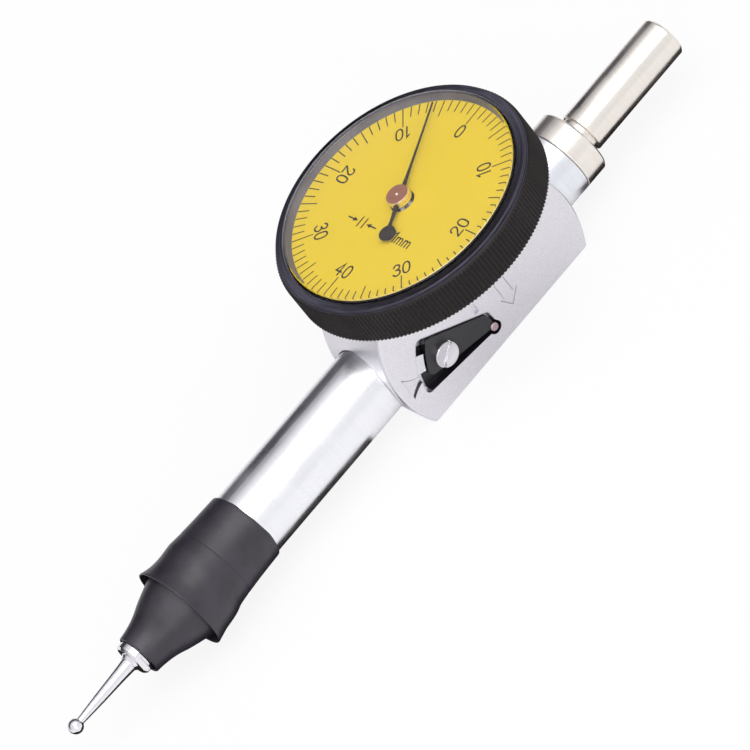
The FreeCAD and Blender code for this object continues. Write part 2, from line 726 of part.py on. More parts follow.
def sector_gear():
    """Toothed sector and forked tail on one hub; the drive pin runs in the fork."""
    x0, x1 = sector_x, sector_x + sector_thickness
    teeth = wheel_outline(sector_teeth, sector_module, -sector_reach, 2 * sector_reach + 1, 0)
    rim_root = sector_radius - 1.1
    start, end = teeth[0][0] - 0.04, teeth[-1][0] + 0.04
    inner = [(end, teeth[-1][1]), (end, rim_root), (start, rim_root), (start, teeth[0][1])]
    rim = side_wheel(teeth + inner, x0, x1, sector_pivot_y)
    web = side_profile([
        (sector_pivot_y, axis_height - 0.9), (sector_pivot_y + rim_root + 0.3, axis_height - 1.05),
        (sector_pivot_y + rim_root + 0.3, axis_height + 1.05), (sector_pivot_y, axis_height + 0.9),
    ], x0, x1)
    tail = side_profile([
        (sector_pivot_y, axis_height - 0.9), (sector_pivot_y, axis_height + 0.9),
        (drive_pin_y + 2, axis_height + 0.55), (drive_pin_y + 1, axis_height + 0.8),
        (drive_pin_y - 0.9, axis_height + 0.8), (drive_pin_y - 0.9, axis_height - 0.8),
        (drive_pin_y + 1, axis_height - 0.8), (drive_pin_y + 2, axis_height - 0.55),
    ], x0, x1)
    hub = x_cylinder(2.2, x0 - 0.5, x1 + 0.4, sector_pivot_y, axis_height)
    sector = rim.fuse(web).fuse(tail).fuse(hub)
    half_slot = drive_pin_diameter / 2 + 0.03
    sector = sector.cut(box(x0, x1, drive_pin_y - 2, drive_pin_y + 0.6, axis_height - half_slot,
                            axis_height + half_slot))
    return sector.cut(x_cylinder(arbor_diameter, -5, 5, sector_pivot_y, axis_height)).removeSplitter()


def crown_disc(back, front, outer, inner):
    """The spoked disc behind the crown teeth."""
    disc = x_cylinder(2 * outer, back, front, 0, axis_height)
    disc = disc.cut(x_cylinder(2 * inner - 0.6, back - 1, 1, 0, axis_height))
    disc = disc.fuse(x_cylinder(1.8, back - 0.5, front, 0, axis_height))
    reach = outer - 0.2
    for turn in (45, 135):
        arm = box(back, front, -reach, reach, axis_height - 0.3, axis_height + 0.3)
        arm.rotate(Vector(0, 0, axis_height), X_AXIS, turn)
        disc = disc.fuse(arm)
    return disc.cut(x_cylinder(arbor_diameter, -5, 5, 0, axis_height))


def crown_wheel():
    """Face gear: radial teeth stand on one side of a spoked disc."""
    tooth_tip = -(hand_pinion_radius - tooth_addendum * crown_module)
    tooth_root = -(hand_pinion_radius + tooth_dedendum * crown_module)
    outer = crown_radius + 0.3
    inner = crown_radius - 0.3
    pitch = math.pi * crown_module
    root_half = pitch * (tooth_thickness + tooth_taper / 2) / 2
    tip_half = pitch * (tooth_thickness - tooth_taper / 2) / 2
    foot = tooth_root - 0.05
    corners = [(foot, -root_half), (tooth_tip, -tip_half), (tooth_tip, tip_half), (foot, root_half)]
    points = [Vector(x, y, axis_height + inner) for x, y in corners]
    tooth = Part.Face(Part.makePolygon(points + points[:1])).extrude(Vector(0, 0, outer - inner - 0.05))
    teeth = []
    for number in range(crown_teeth):
        copy = tooth.copy()
        copy.rotate(Vector(0, 0, axis_height), X_AXIS, 360 / crown_teeth * number)
        teeth.append(copy)
    return crown_disc(tooth_root - 0.45, tooth_root, outer, inner).fuse(teeth)


def crown_arbor():
    """The cross shaft that carries the crown wheel and the pinion that the sector drives."""
    gap_phase = math.pi / pinion_teeth
    outline = wheel_outline(pinion_teeth, sector_module, 0, pinion_teeth, gap_phase)
    pinion = side_wheel(outline, sector_x - 0.3, sector_x + sector_thickness + 0.3, 0)
    return cross_arbor(0).fuse(pinion).removeSplitter()


def hand_arbor():
    """The upright shaft through the dial, cut with the small pinion that the crown wheel drives."""
    gap_phase = math.pi / pinion_teeth
    outline = wheel_outline(pinion_teeth, crown_module, 0, pinion_teeth, gap_phase)
    low, high = hand_pinion_z - 0.6, hand_pinion_z + 0.6
    points = [Vector(r * math.cos(a), r * math.sin(a), low) for a, r in outline]
    pinion = Part.Face(Part.makePolygon(points + points[:1])).extrude(Vector(0, 0, high - low))
    shaft = z_cylinder(arbor_diameter, high, hand_z).fuse(z_cylinder(arbor_diameter, low - 0.4, low))
    lower_pivot = z_cylinder(journal_diameter, low - 1.15, low - 0.3)
    collet = z_cylinder(hand_jewel_diameter, bridge_top + 0.12, bridge_top + 0.62)
    return shaft.fuse(pinion).fuse(lower_pivot).fuse(collet).removeSplitter()


def hand_cock():
    """The bracket on the movement plate that carries the lower pivot of the hand."""
    top = hand_pinion_z - 1.06
    bracket = box(-0.38, right_plate_x, -0.65, 0.65, top - 0.6, top)
    foot = box(right_plate_x - 0.5, right_plate_x, -0.65, 0.65, top - 0.6, top + 2.2)
    foot = foot.cut(box(right_plate_x - 1, right_plate_x - 0.1, -1, 1, top + 0.7, top + 1.3))
    bearing = z_cylinder(journal_diameter + 2 * journal_fit, top - 2, top + 1)
    return bracket.fuse(foot).cut(bearing).removeSplitter()


def hand_bridge():
    """The bar across the head that carries the upper bearing of the hand."""
    half_width = bridge_width / 2
    half = cup_radius - open_gap
    bar = box(-half_width, half_width, -half, half, bridge_bottom, bridge_top)
    for y0, y1 in ((-half, -half + 1.9), (half - 1.9, half)):
        bar = bar.fuse(box(-half_width, half_width, y0, y1, shelf_top, bridge_bottom))
    bar = bar.common(z_cylinder(2 * (cup_radius - 0.1), 0, FAR))
    bar = bar.cut(z_cylinder(hand_jewel_diameter, 0, FAR))
    for y in (-bridge_screw_y, bridge_screw_y):
        bar = bar.cut(z_cylinder(screw_shank, 0, FAR, 0, y))
    return bar.removeSplitter()


def hand_jewel():
    ring = z_cylinder(hand_jewel_diameter, bridge_bottom, bridge_top)
    return ring.cut(z_cylinder(arbor_diameter + 2 * journal_fit, 0, FAR))


def bridge_screws():
    screws = []
    for y in (-bridge_screw_y, bridge_screw_y):
        screw = slotted_screw(bridge_top - head_bottom - 0.3, screw_head, screw_shank - 2 * seat_gap)
        screws.append(screw.translated(Vector(0, y, bridge_top)))
    return Part.makeCompound(screws)


def hairspring():
    """Flat spiral strip of half-turn arcs round the collet of the hand."""
    half_turns = 8
    strip = 0.1
    step = 0.32
    low = bridge_top + 0.2
    radius = hand_jewel_diameter / 2 + 0.15
    centre_x = 0.0
    side = 1
    sides = {1: [], -1: []}
    for _ in range(half_turns):
        for face, edges in sides.items():
            r = radius + face * strip / 2
            first = Vector(centre_x + side * r, 0, low)
            middle = Vector(centre_x, side * r, low)
            last = Vector(centre_x - side * r, 0, low)
            edges.append(Part.Arc(first, middle, last).toShape())
        end_x = centre_x - side * radius
        radius += step / 2
        side = -side
        centre_x = end_x - side * radius
    ends = []
    for position, corner in ((0, 0), (-1, 1)):
        points = [edges[position].Vertexes[corner].Point for edges in sides.values()]
        ends.append(Part.LineSegment(points[0], points[1]).toShape())
    wire = Part.Wire(Part.__sortEdges__(sides[1] + sides[-1] + ends))
    return Part.Face(wire).extrude(Vector(0, 0, 0.35))


# ---- dial head -------------------------------------------------------------------------------
def rim_point(radius, angle, z):
    return Vector(radius * math.cos(angle), radius * math.sin(angle), z)


def knurled_ring():
    """A disc with V-shaped teeth round its edge, each tooth bevelled by one flat at its upper end."""
    pitch = 2 * math.pi / knurl_teeth
    tip = bezel_radius
    root = bezel_radius - knurl_depth
    top = dial_height + knurl_rise
    flat = (rim_radius + 0.1) * math.cos(pitch / 2)
    slope = knurl_bevel / (tip - flat)
    root_top = top - (root * math.cos(pitch / 2) - flat) * slope
    faces = []
    outline = []
    crown = []
    for tooth in range(knurl_teeth):
        middle = tooth * pitch
        tip_low = rim_point(tip, middle, bezel_bottom)
        tip_high = rim_point(tip, middle, top - knurl_bevel)
        sides = []
        for angle in (middle - pitch / 2, middle + pitch / 2):
            root_low = rim_point(root, angle, bezel_bottom)
            root_high = rim_point(root, angle, root_top)
            sides.append((root_high, rim_point(rim_radius + 0.1, angle, top)))
            faces.append(Part.Face(Part.makePolygon([tip_low, root_low, root_high, tip_high, tip_low])))
        bevel = [tip_high, sides[1][0], sides[1][1], sides[0][1], sides[0][0], tip_high]
        faces.append(Part.Face(Part.makePolygon(bevel)))
        outline += [rim_point(root, middle - pitch / 2, bezel_bottom), tip_low]
        crown.append(sides[0][1])
    faces.append(Part.Face(Part.makePolygon(outline + outline[:1])))
    faces.append(Part.Face(Part.makePolygon(crown + crown[:1])))
    shell = Part.Shell(faces)
    shell.sewShape()
    return Part.Solid(shell)


def bezel():
    band_bottom = dial_height + knurl_rise - 0.05
    band = turned_about_dial([
        (0, band_bottom), (rim_radius, band_bottom), (rim_radius, bezel_top - 0.1),
        (rim_radius - 0.1, bezel_top), (0, bezel_top),
    ])
    ring = knurled_ring().fuse(band)
    ring = ring.cut(z_cylinder(2 * bezel_bore, bezel_bottom - 1, ledge_bottom))
    ring = ring.cut(z_cylinder(2 * (window_radius - bezel_ledge_width), ledge_bottom - 1, ledge_top + 1))
    ring = ring.cut(z_cylinder(2 * window_radius, ledge_top, bezel_top + 1))
    half = spring_section / 2 + 0.13
    return ring.cut(z_cylinder(2 * bezel_bore + 0.4, spring_groove_z - half, spring_groove_z + half))


def bezel_spring():
    """The split spring ring that holds the bezel down and gives its friction."""
    half = spring_section / 2
    outer = bezel_bore + 0.02
    ring = z_cylinder(2 * outer, spring_groove_z - half, spring_groove_z + half)
    ring = ring.cut(z_cylinder(2 * (outer - spring_section), 0, FAR))
    return ring.cut(box(cup_radius - 1, bezel_radius, -0.8, 0.8, 0, FAR))


def dial():
    plate = z_cylinder(2 * (window_radius - running_fit), ledge_top, dial_height)
    return plate.cut(z_cylinder(dial_hole, 0, FAR))


def crystal_retainer():
    """The sloped ring between the dial and the crystal."""
    outer = window_radius - seat_gap
    foot = outer - retainer_width
    top = bezel_top - crystal_seat
    return turned_about_dial([
        (foot, dial_height), (outer, dial_height), (outer, top), (foot + retainer_slope, top),
    ])


def dome_cap(base_radius, rise, base_z):
    """The cap of a sphere that stands rise high over a circle of base_radius."""
    sphere_radius = (base_radius ** 2 + rise ** 2) / (2 * rise)
    ball = Part.makeSphere(sphere_radius, Vector(0, 0, base_z + rise - sphere_radius))
    return ball.common(z_cylinder(2 * base_radius + 2, base_z, base_z + rise + 1))


def crystal():
    """Domed window with an upright edge."""
    edge = window_radius - seat_gap
    seat = bezel_top - crystal_seat
    shoulder = seat + crystal_edge
    rim = turned_about_dial([
        (0, seat), (edge, seat), (edge, shoulder - 0.3), (edge - 0.3, shoulder), (0, shoulder),
    ])
    solid = rim.fuse(dome_cap(edge - 0.3, crystal_dome, shoulder))
    hollow = dome_cap(edge - 0.45, crystal_edge + crystal_dome - crystal_wall, seat)
    return solid.cut(hollow).removeSplitter()


def hand():
    """Slim tapered needle with a round counterweight on its tail."""
    points = [
        Vector(-0.32, 0, 0), Vector(-0.06, hand_length, 0), Vector(0.06, hand_length, 0), Vector(0.32, 0, 0),
        Vector(0.26, -5, 0), Vector(-0.26, -5, 0),
    ]
    needle = Part.Face(Part.makePolygon(points + points[:1])).extrude(Vector(0, 0, hand_thickness))
    weight = Part.makeCylinder(1.2, hand_thickness, Vector(0, -5.6, 0))
    centre = Part.makeCylinder(0.9, hand_thickness)
    needle = needle.fuse([weight, centre]).cut(Part.makeCylinder(arbor_diameter / 2, 1))
    needle = needle.removeSplitter()
    needle.rotate(Vector(0, 0, 0), Z_AXIS, hand_turn)
    return needle.translated(Vector(0, 0, hand_z - hand_thickness))


def hand_hub():
    """The turned cap over the hand, with a small centre pit."""
    radius = hub_diameter / 2
    top = hand_z + hub_height
    cap = turned_about_dial([
        (0, hand_z), (radius - 0.1, hand_z), (radius, hand_z + 0.1), (radius, top - 0.15),
        (radius - 0.15, top), (0, top),
    ])
    return cap.cut(z_cylinder(0.36, top - 0.4, top + 1))


# ---- direction lever -------------------------------------------------------------------------
def direction_lever():
    """The black lever plate, with room below it in the pocket for its travel."""
    low = lever_pivot_z - 0.05
    slope = math.tan(math.radians(lower_slope + lever_travel + 0.5))
    far_y = lever_pivot_y - pocket_reach
    keep = side_profile([
        (lever_pivot_y + 2, low), (lever_pivot_y, low), (far_y, low + pocket_reach * slope),
        (far_y, plate_top), (lever_pivot_y + 2, plate_top),
    ], lever_x, lever_top_x)
    plate = pocket_fan(open_gap, lever_reach, lever_x, lever_top_x).common(keep)
    corner = [edge for edge in edges_along(plate, X_AXIS)
              if edge.CenterOfMass.y < knob_y and edge.CenterOfMass.z < axis_height - 0.5]
    plate = plate.makeFillet(0.9, corner).fuse(pivot_round(open_gap, lever_x, lever_top_x))
    bore = lever_pin_diameter + 2 * running_fit
    return plate.cut(x_cylinder(bore, lever_x - 1, side_x + 1, lever_pivot_y, lever_pivot_z)).removeSplitter()


def direction_knob():
    """The slotted screw head that is pushed to swing the lever."""
    top = lever_top_x + knob_height
    head = x_cylinder(knob_diameter, lever_top_x, top, knob_y, knob_z)
    head = head.makeChamfer(0.2, [edge for edge in head.Edges if edge.CenterOfMass.x > top - 0.1])
    slot = box(top - 0.4, top + 1, knob_y - 3, knob_y + 3, knob_z - 0.3, knob_z + 0.3)
    slot.rotate(Vector(0, knob_y, knob_z), X_AXIS, -58)
    return head.cut(slot)


def direction_pivot():
    top = lever_top_x + 0.25
    pin = x_cylinder(lever_pin_diameter, side_x - 2.1, top, lever_pivot_y, lever_pivot_z)
    return pin.makeChamfer(0.12, [edge for edge in pin.Edges if edge.CenterOfMass.x > top - 0.1])


def detent_ball():
    radius = detent_diameter / 2
    return Part.makeSphere(radius, Vector(lever_x - 0.03 - radius, detent_y, detent_z))


def detent_spring():
    """The stack of wave washers under the detent ball."""
    return x_cylinder(detent_diameter, side_x - 2.28, lever_x - detent_diameter - 0.06, detent_y, detent_z)


# ---- export ----------------------------------------------------------------------------------
nodes = {
    "body": body,
    "stem_bush": stem_bush,
    "stem": stem,
    "tube": tube,
    "boot_sleeve": boot_sleeve,
    "boot_cone": boot_cone,
    "pivot_fork": pivot_fork,
    "contact_pivot": contact_pivot,
    "contact_lever": contact_lever,
    "drive_pin": drive_pin,
    "return_spring": return_spring,
    "stylus_holder": stylus_holder,
    "stylus": stylus,
    "stylus_ball": stylus_ball,
    "movement_plate_left": lambda: movement_plate(cavity_left, cavity_left),
    "movement_plate_right": lambda: movement_plate(right_plate_x, cavity_right),
    "plate_pillars": plate_pillars,
    "plate_screws": plate_screws,
    "jewel_bearings": jewel_bearings,
    "sector_gear": sector_gear,
    "sector_arbor": lambda: cross_arbor(sector_pivot_y),
    "crown_wheel": crown_wheel,
    "crown_arbor": crown_arbor,
    "hand_arbor": hand_arbor,
    "hand_cock": hand_cock,
    "hand_bridge": hand_bridge,
    "hand_jewel": hand_jewel,
    "bridge_screws": bridge_screws,
    "hairspring": hairspring,
    "bezel": bezel,
    "bezel_spring": bezel_spring,
    "dial": dial,
    "crystal_retainer": crystal_retainer,
    "crystal": crystal,
    "hand": hand,
    "hand_hub": hand_hub,
    "direction_lever": direction_lever,
    "direction_knob": direction_knob,
    "direction_pivot": direction_pivot,
    "detent_ball": detent_ball,
    "detent_spring": detent_spring,
}

os.makedirs("parts", exist_ok=True)
for name, make in nodes.items():
    shape = make()
    if not shape.isValid() or shape.Volume <= 0:
        raise RuntimeError(name + " is not a sound solid")
    shape.exportStep("parts/" + name + ".step")
    print(name, len(shape.Solids), round(shape.Volume, 3))
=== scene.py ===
import math

import bmesh
import bpy
from mathutils import Matrix, Vector


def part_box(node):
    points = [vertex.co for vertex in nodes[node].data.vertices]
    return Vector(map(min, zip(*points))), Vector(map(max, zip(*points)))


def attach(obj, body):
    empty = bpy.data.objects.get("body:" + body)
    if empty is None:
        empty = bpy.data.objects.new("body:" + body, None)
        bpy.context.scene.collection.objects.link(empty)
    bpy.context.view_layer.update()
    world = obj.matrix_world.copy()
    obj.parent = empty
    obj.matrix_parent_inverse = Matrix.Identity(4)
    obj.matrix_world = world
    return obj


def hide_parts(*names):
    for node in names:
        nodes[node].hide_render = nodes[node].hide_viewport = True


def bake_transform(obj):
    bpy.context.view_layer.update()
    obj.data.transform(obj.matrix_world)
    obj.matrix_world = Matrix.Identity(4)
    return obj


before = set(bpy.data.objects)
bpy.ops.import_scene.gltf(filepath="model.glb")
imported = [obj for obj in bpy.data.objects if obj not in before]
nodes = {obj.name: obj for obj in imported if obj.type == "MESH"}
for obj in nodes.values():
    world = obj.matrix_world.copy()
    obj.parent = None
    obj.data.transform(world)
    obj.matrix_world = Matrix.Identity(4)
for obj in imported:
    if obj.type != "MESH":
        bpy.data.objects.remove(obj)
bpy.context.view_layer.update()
MM = 0.001

# ---- body ------------------------------------------------------------------------------------
# The case is one block of die-cast and milled metal, satin chromed after blasting, with the head
# disc on top. The lever pocket is coloured near black, and an arrow and a flared mark stand on its
# side. A painted shade darkens the lower foot of the flared mark.


def rgb(red, green, blue):
    """A display colour, 0 to 255, as the linear colour that a shader takes."""
    def linear(value):
        value = value / 255
        return value / 12.92 if value <= 0.04045 else ((value + 0.055) / 1.055) ** 2.4
    return (linear(red), linear(green), linear(blue), 1.0)


def add(tree, kind, inputs=None, **settings):
    """Adds a node to a tree. inputs maps a socket's name or number to a value or another socket."""
    node = tree.nodes.new(kind)
    for key, value in settings.items():
        setattr(node, key, value)
    for key, value in (inputs or {}).items():
        if isinstance(value, bpy.types.NodeSocket):
            tree.links.new(value, node.inputs[key])
        else:
            node.inputs[key].default_value = value
    return node


def calc(tree, operation, first, second=0.0, third=0.0):
    """A math node's result."""
    return add(tree, "ShaderNodeMath", {0: first, 1: second, 2: third}, operation=operation).outputs[0]


def smooth_mask(tree, value, low, high, start=0.0, end=1.0):
    """start below low, end above high, and a smooth step between them."""
    node = add(tree, "ShaderNodeMapRange", {0: value, 1: low, 2: high, 3: start, 4: end},
               interpolation_type="SMOOTHSTEP")
    return node.outputs[0]


def mix(tree, factor, first, second):
    """A colour between two colours."""
    node = add(tree, "ShaderNodeMix", {0: factor, 6: first, 7: second}, data_type="RGBA")
    return node.outputs[2]


def split(tree, vector):
    """The three parts of a vector."""
    return add(tree, "ShaderNodeSeparateXYZ", {0: vector}).outputs


def object_point(tree, scale=1000.0):
    """The point's own place on the object, in millimetres by default."""
    place = add(tree, "ShaderNodeTexCoord").outputs["Object"]
    return add(tree, "ShaderNodeVectorMath", {0: place, "Scale": scale}, operation="SCALE").outputs[0]


def group(name, inputs, outputs):
    """An empty shader node group with float inputs, and outputs given as name and kind."""
    tree = bpy.data.node_groups.new(name, "ShaderNodeTree")
    for label, value in inputs:
        socket = tree.interface.new_socket(name=label, in_out="INPUT", socket_type="NodeSocketFloat")
        socket.default_value = value
    for label, kind in outputs:
        tree.interface.new_socket(name=label, in_out="OUTPUT", socket_type=kind)
    return tree, tree.nodes.new("NodeGroupInput").outputs, tree.nodes.new("NodeGroupOutput").inputs


def make_grain_group():
    """Blasted grain with large soft clouds: a tone round 0.5, a height, and slow smudges."""
    tree, given, out = group(
        "blasted grain", [("Grain size mm", 0.1), ("Cloud size mm", 6.0)],
        [("Tone", "NodeSocketFloat"), ("Height", "NodeSocketFloat"), ("Smudge", "NodeSocketFloat")])
    place = object_point(tree)
    fine_scale = calc(tree, "DIVIDE", 1.0, given["Grain size mm"])
    fine = add(tree, "ShaderNodeTexNoise", {
        "Vector": place, "Scale": fine_scale, "Detail": 3.0, "Roughness": 0.6})
    cloud_scale = calc(tree, "DIVIDE", 1.0, given["Cloud size mm"])
    cloud = add(tree, "ShaderNodeTexNoise", {
        "Vector": place, "Scale": cloud_scale, "Detail": 4.0, "Roughness": 0.5})
    tree.links.new(fine.outputs["Fac"], out["Tone"])
    tree.links.new(fine.outputs["Fac"], out["Height"])
    tree.links.new(cloud.outputs["Fac"], out["Smudge"])
    return tree


def make_lathe_group():
    """Fine lines left by turning or grinding, round an axis through Offset, with its direction picked
    by Along X, Along Y and Along Z, which are 1 for the axis and 0 for the others."""
    tree, given, out = group(
        "turned lines",
        [("Along X", 0.0), ("Along Y", 1.0), ("Along Z", 0.0), ("Offset Y", 0.0), ("Offset Z", 0.0),
         ("Lines per mm", 8.0), ("Breaks", 0.15)],
        [("Tone", "NodeSocketFloat"), ("Height", "NodeSocketFloat")])
    x, y, z = split(tree, object_point(tree))
    y = calc(tree, "SUBTRACT", y, given["Offset Y"])
    z = calc(tree, "SUBTRACT", z, given["Offset Z"])
    along = calc(tree, "MULTIPLY", x, given["Along X"])
    along = calc(tree, "MULTIPLY_ADD", y, given["Along Y"], along)
    along = calc(tree, "MULTIPLY_ADD", z, given["Along Z"], along)
    square = calc(tree, "MULTIPLY", x, x)
    square = calc(tree, "MULTIPLY_ADD", y, y, square)
    square = calc(tree, "MULTIPLY_ADD", z, z, square)
    square = calc(tree, "SUBTRACT", square, calc(tree, "MULTIPLY", along, along))
    radius = calc(tree, "SQRT", calc(tree, "MAXIMUM", square, 0.0))
    around = add(tree, "ShaderNodeCombineXYZ", {
        0: calc(tree, "MULTIPLY", along, given["Lines per mm"]),
        1: calc(tree, "MULTIPLY", radius, given["Lines per mm"]),
        2: calc(tree, "MULTIPLY", calc(tree, "ADD", x, calc(tree, "ADD", y, z)), given["Breaks"])}).outputs[0]
    lines = add(tree, "ShaderNodeTexNoise", {"Vector": around, "Scale": 1.0, "Detail": 4.0, "Roughness": 0.65})
    tree.links.new(lines.outputs["Fac"], out["Tone"])
    tree.links.new(lines.outputs["Fac"], out["Height"])
    return tree


def make_edge_group():
    """The worn edges of a piece, and a normal that rounds them."""
    tree, given, out = group(
        "soft edge", [("Edge width mm", 0.12)], [("Edge", "NodeSocketFloat"), ("Normal", "NodeSocketVector")])
    width = calc(tree, "MULTIPLY", given["Edge width mm"], MM)
    rounded = add(tree, "ShaderNodeBevel", {"Radius": width}, samples=6).outputs[0]
    true_normal = add(tree, "ShaderNodeNewGeometry").outputs["Normal"]
    turn = add(tree, "ShaderNodeVectorMath", {0: rounded, 1: true_normal},
               operation="DOT_PRODUCT").outputs["Value"]
    tree.links.new(smooth_mask(tree, turn, 0.995, 0.9), out["Edge"])
    tree.links.new(rounded, out["Normal"])
    return tree


grain_group = make_grain_group()
lathe_group = make_lathe_group()
edge_group = make_edge_group()


def use(tree, shared, **values):
    """Places a shared group in a material with its own values. A name's spaces are written as _."""
    node = add(tree, "ShaderNodeGroup", node_tree=shared)
    for key, value in values.items():
        node.inputs[key.replace("_", " ")].default_value = value
    return node.outputs


def empty_material(name):
    """A material with nothing in its tree, and the tree."""
    material = bpy.data.materials.new(name)
    material.use_nodes = True
    material.node_tree.nodes.clear()
    return material, material.node_tree


def start_material(name, **shader):
    """A material with only a Principled shader, whose plain sockets are set from shader."""
    material, tree = empty_material(name)
    surface = add(tree, "ShaderNodeBsdfPrincipled")
    for key, value in shader.items():
        surface.inputs[key.replace("_", " ")].default_value = value
    add(tree, "ShaderNodeOutputMaterial", {0: surface.outputs[0]})
    return material, tree, surface


def link(tree, surface, **sockets):
    """Joins results to a shader's sockets. A name's spaces are written as _."""
    for key, value in sockets.items():
        tree.links.new(value, surface.inputs[key.replace("_", " ")])


def bump(tree, height, distance_mm, strength=1.0, normal=None):
    """The normal of a surface raised by height, where a height of 1 is distance_mm."""
    inputs = {"Height": height, "Distance": distance_mm * MM, "Strength": strength}
    if normal is not None:
        inputs["Normal"] = normal
    return add(tree, "ShaderNodeBump", inputs).outputs[0]


def finish(material, *names):
    """Gives CAD nodes a material on all their slots."""
    for name in names:
        slots = nodes[name].data.materials
        for index in range(len(slots)):
            slots[index] = material


def satin_metal(name, tone, shade, roughness, grain=0.09, grain_depth=0.004, edge=0.12, cloud=6.0):
    """Blasted and plated metal: tone and shade are its light and dark colours."""
    material, tree, surface = start_material(name, Metallic=1.0)
    made = use(tree, grain_group, Grain_size_mm=grain, Cloud_size_mm=cloud)
    worn = use(tree, edge_group, Edge_width_mm=edge)
    base = mix(tree, smooth_mask(tree, made["Tone"], 0.3, 0.7), shade, tone)
    base = mix(tree, calc(tree, "MULTIPLY", worn["Edge"], 0.5), base, tone)
    rough = smooth_mask(tree, made["Smudge"], 0.3, 0.7, roughness - 0.04, roughness + 0.04)
    link(tree, surface, Base_Color=base, Roughness=rough,
         Normal=bump(tree, made["Height"], grain_depth, 1.0, worn["Normal"]))
    return material, tree, surface, base


def arrow_mask(tree, x, y, z):
    """1 on the raised arrow on the side face, 0 outside, with soft walls."""
    def side(y0, z0, y1, z1):
        long = math.hypot(y1 - y0, z1 - z0)
        along_z = calc(tree, "MULTIPLY", calc(tree, "SUBTRACT", z, z0), (y1 - y0) / long)
        along_y = calc(tree, "MULTIPLY", calc(tree, "SUBTRACT", y, y0), (z1 - z0) / long)
        return calc(tree, "SUBTRACT", along_z, along_y)
    corners = [(-0.05, 5.1), (1.0, 3.3), (2.8, 4.85)]
    head = None
    for start, end in zip(corners, corners[1:] + corners[:1]):
        distance = side(*start, *end)
        head = distance if head is None else calc(tree, "MINIMUM", head, distance)
    shaft = calc(tree, "SUBTRACT", 0.82, calc(tree, "ABSOLUTE", calc(tree, "SUBTRACT", y, 1.28)))
    shaft = calc(tree, "MINIMUM", shaft, calc(tree, "SUBTRACT", z, 4.7))
    both = calc(tree, "MAXIMUM", head, shaft)
    both = calc(tree, "MINIMUM", both, calc(tree, "SUBTRACT", x, 6.0))
    return smooth_mask(tree, both, -0.1, 0.1)


def flared_mark(tree, x, y, z):
    """The flared mark beside the lever: 1 on its crest, with a soft slope inside its outline, and
    a mask of its foot along the lower side, which carries a painted shade."""
    neck_y, length = -13.2, 3.3
    t = calc(tree, "DIVIDE", calc(tree, "SUBTRACT", neck_y, y), length)
    tt = calc(tree, "MULTIPLY", t, t)
    upper = calc(tree, "MULTIPLY_ADD", tt, 2.18, calc(tree, "MULTIPLY_ADD", t, -0.18, 7.1))
    lower = calc(tree, "MULTIPLY_ADD", tt, -1.46, calc(tree, "MULTIPLY_ADD", t, 0.61, 6.3))
    under = calc(tree, "SUBTRACT", upper, z)
    over = calc(tree, "SUBTRACT", z, lower)
    along = calc(tree, "MULTIPLY", calc(tree, "GREATER_THAN", t, -0.05), calc(tree, "LESS_THAN", t, 1.02))
    along = calc(tree, "MULTIPLY", along, calc(tree, "GREATER_THAN", x, 5.8))
    crest = smooth_mask(tree, calc(tree, "MINIMUM", under, over), 0.02, 0.34)
    foot_shade = smooth_mask(tree, calc(tree, "ABSOLUTE", calc(tree, "SUBTRACT", over, 0.02)), 0.12, 0.05)
    return calc(tree, "MULTIPLY", crest, along), calc(tree, "MULTIPLY", foot_shade, along)


def pocket_paint(tree, x, y, z):
    """1 inside the lever pocket, and 0 on the bright ledge and everywhere else."""
    pivot_y, pivot_z, reach, round_radius = -2.7, 3.0, 12.28, 1.0
    upper, lower = math.radians(31.45), math.radians(7.0)
    a = calc(tree, "SUBTRACT", pivot_y, y)
    b = calc(tree, "SUBTRACT", z, pivot_z)
    far = calc(tree, "SQRT", calc(tree, "ADD", calc(tree, "MULTIPLY", a, a), calc(tree, "MULTIPLY", b, b)))
    inside = calc(tree, "LESS_THAN", far, reach)
    over = calc(tree, "SUBTRACT", calc(tree, "MULTIPLY", b, math.cos(upper)),
                calc(tree, "MULTIPLY", a, math.sin(upper)))
    under = calc(tree, "SUBTRACT", calc(tree, "MULTIPLY", a, math.sin(lower)),
                 calc(tree, "MULTIPLY", b, math.cos(lower)))
    inside = calc(tree, "MULTIPLY", inside, calc(tree, "LESS_THAN", over, round_radius))
    inside = calc(tree, "MULTIPLY", inside, calc(tree, "LESS_THAN", under, round_radius))
    inside = calc(tree, "MULTIPLY", inside, calc(tree, "LESS_THAN", x, 6.2))
    inside = calc(tree, "MULTIPLY", inside, calc(tree, "GREATER_THAN", x, 4.0))
    ledge = calc(tree, "MULTIPLY", calc(tree, "GREATER_THAN", far, 10.97), calc(tree, "GREATER_THAN", x, 5.84))
    angle = calc(tree, "ARCTAN2", b, a)
    high = calc(tree, "GREATER_THAN", angle, math.radians(19.9))
    ledge = calc(tree, "MULTIPLY", ledge, high)
    corner = calc(tree, "MULTIPLY", calc(tree, "GREATER_THAN", far, 11.4), calc(tree, "SUBTRACT", 1.0, high))
    return calc(tree, "MULTIPLY", inside, calc(tree, "SUBTRACT", 1.0, calc(tree, "MAXIMUM", ledge, corner)))


body_metal, tree, surface, base = satin_metal(
    "satin chromed case", rgb(238, 236, 240), rgb(216, 213, 220), 0.36)
x, y, z = split(tree, object_point(tree))
arrow = arrow_mask(tree, x, y, z)
pocket_dark = pocket_paint(tree, x, y, z)
mark, mark_foot_shade = flared_mark(tree, x, y, z)
raised = calc(tree, "MAXIMUM", arrow, mark)
# A painted shade: the lower foot of the flared mark is coloured dark grey.
base = mix(tree, mark_foot_shade, base, rgb(92, 88, 94))
# Inside the lever pocket the case is coloured near black and not metallic.
base = mix(tree, pocket_dark, base, rgb(26, 24, 30))
grained = surface.inputs["Normal"].links[0].from_socket
link(tree, surface, Base_Color=base, Metallic=smooth_mask(tree, pocket_dark, 0.0, 1.0, 1.0, 0.0),
     Normal=bump(tree, raised, 0.2, 1.0, grained))
finish(body_metal, "body")

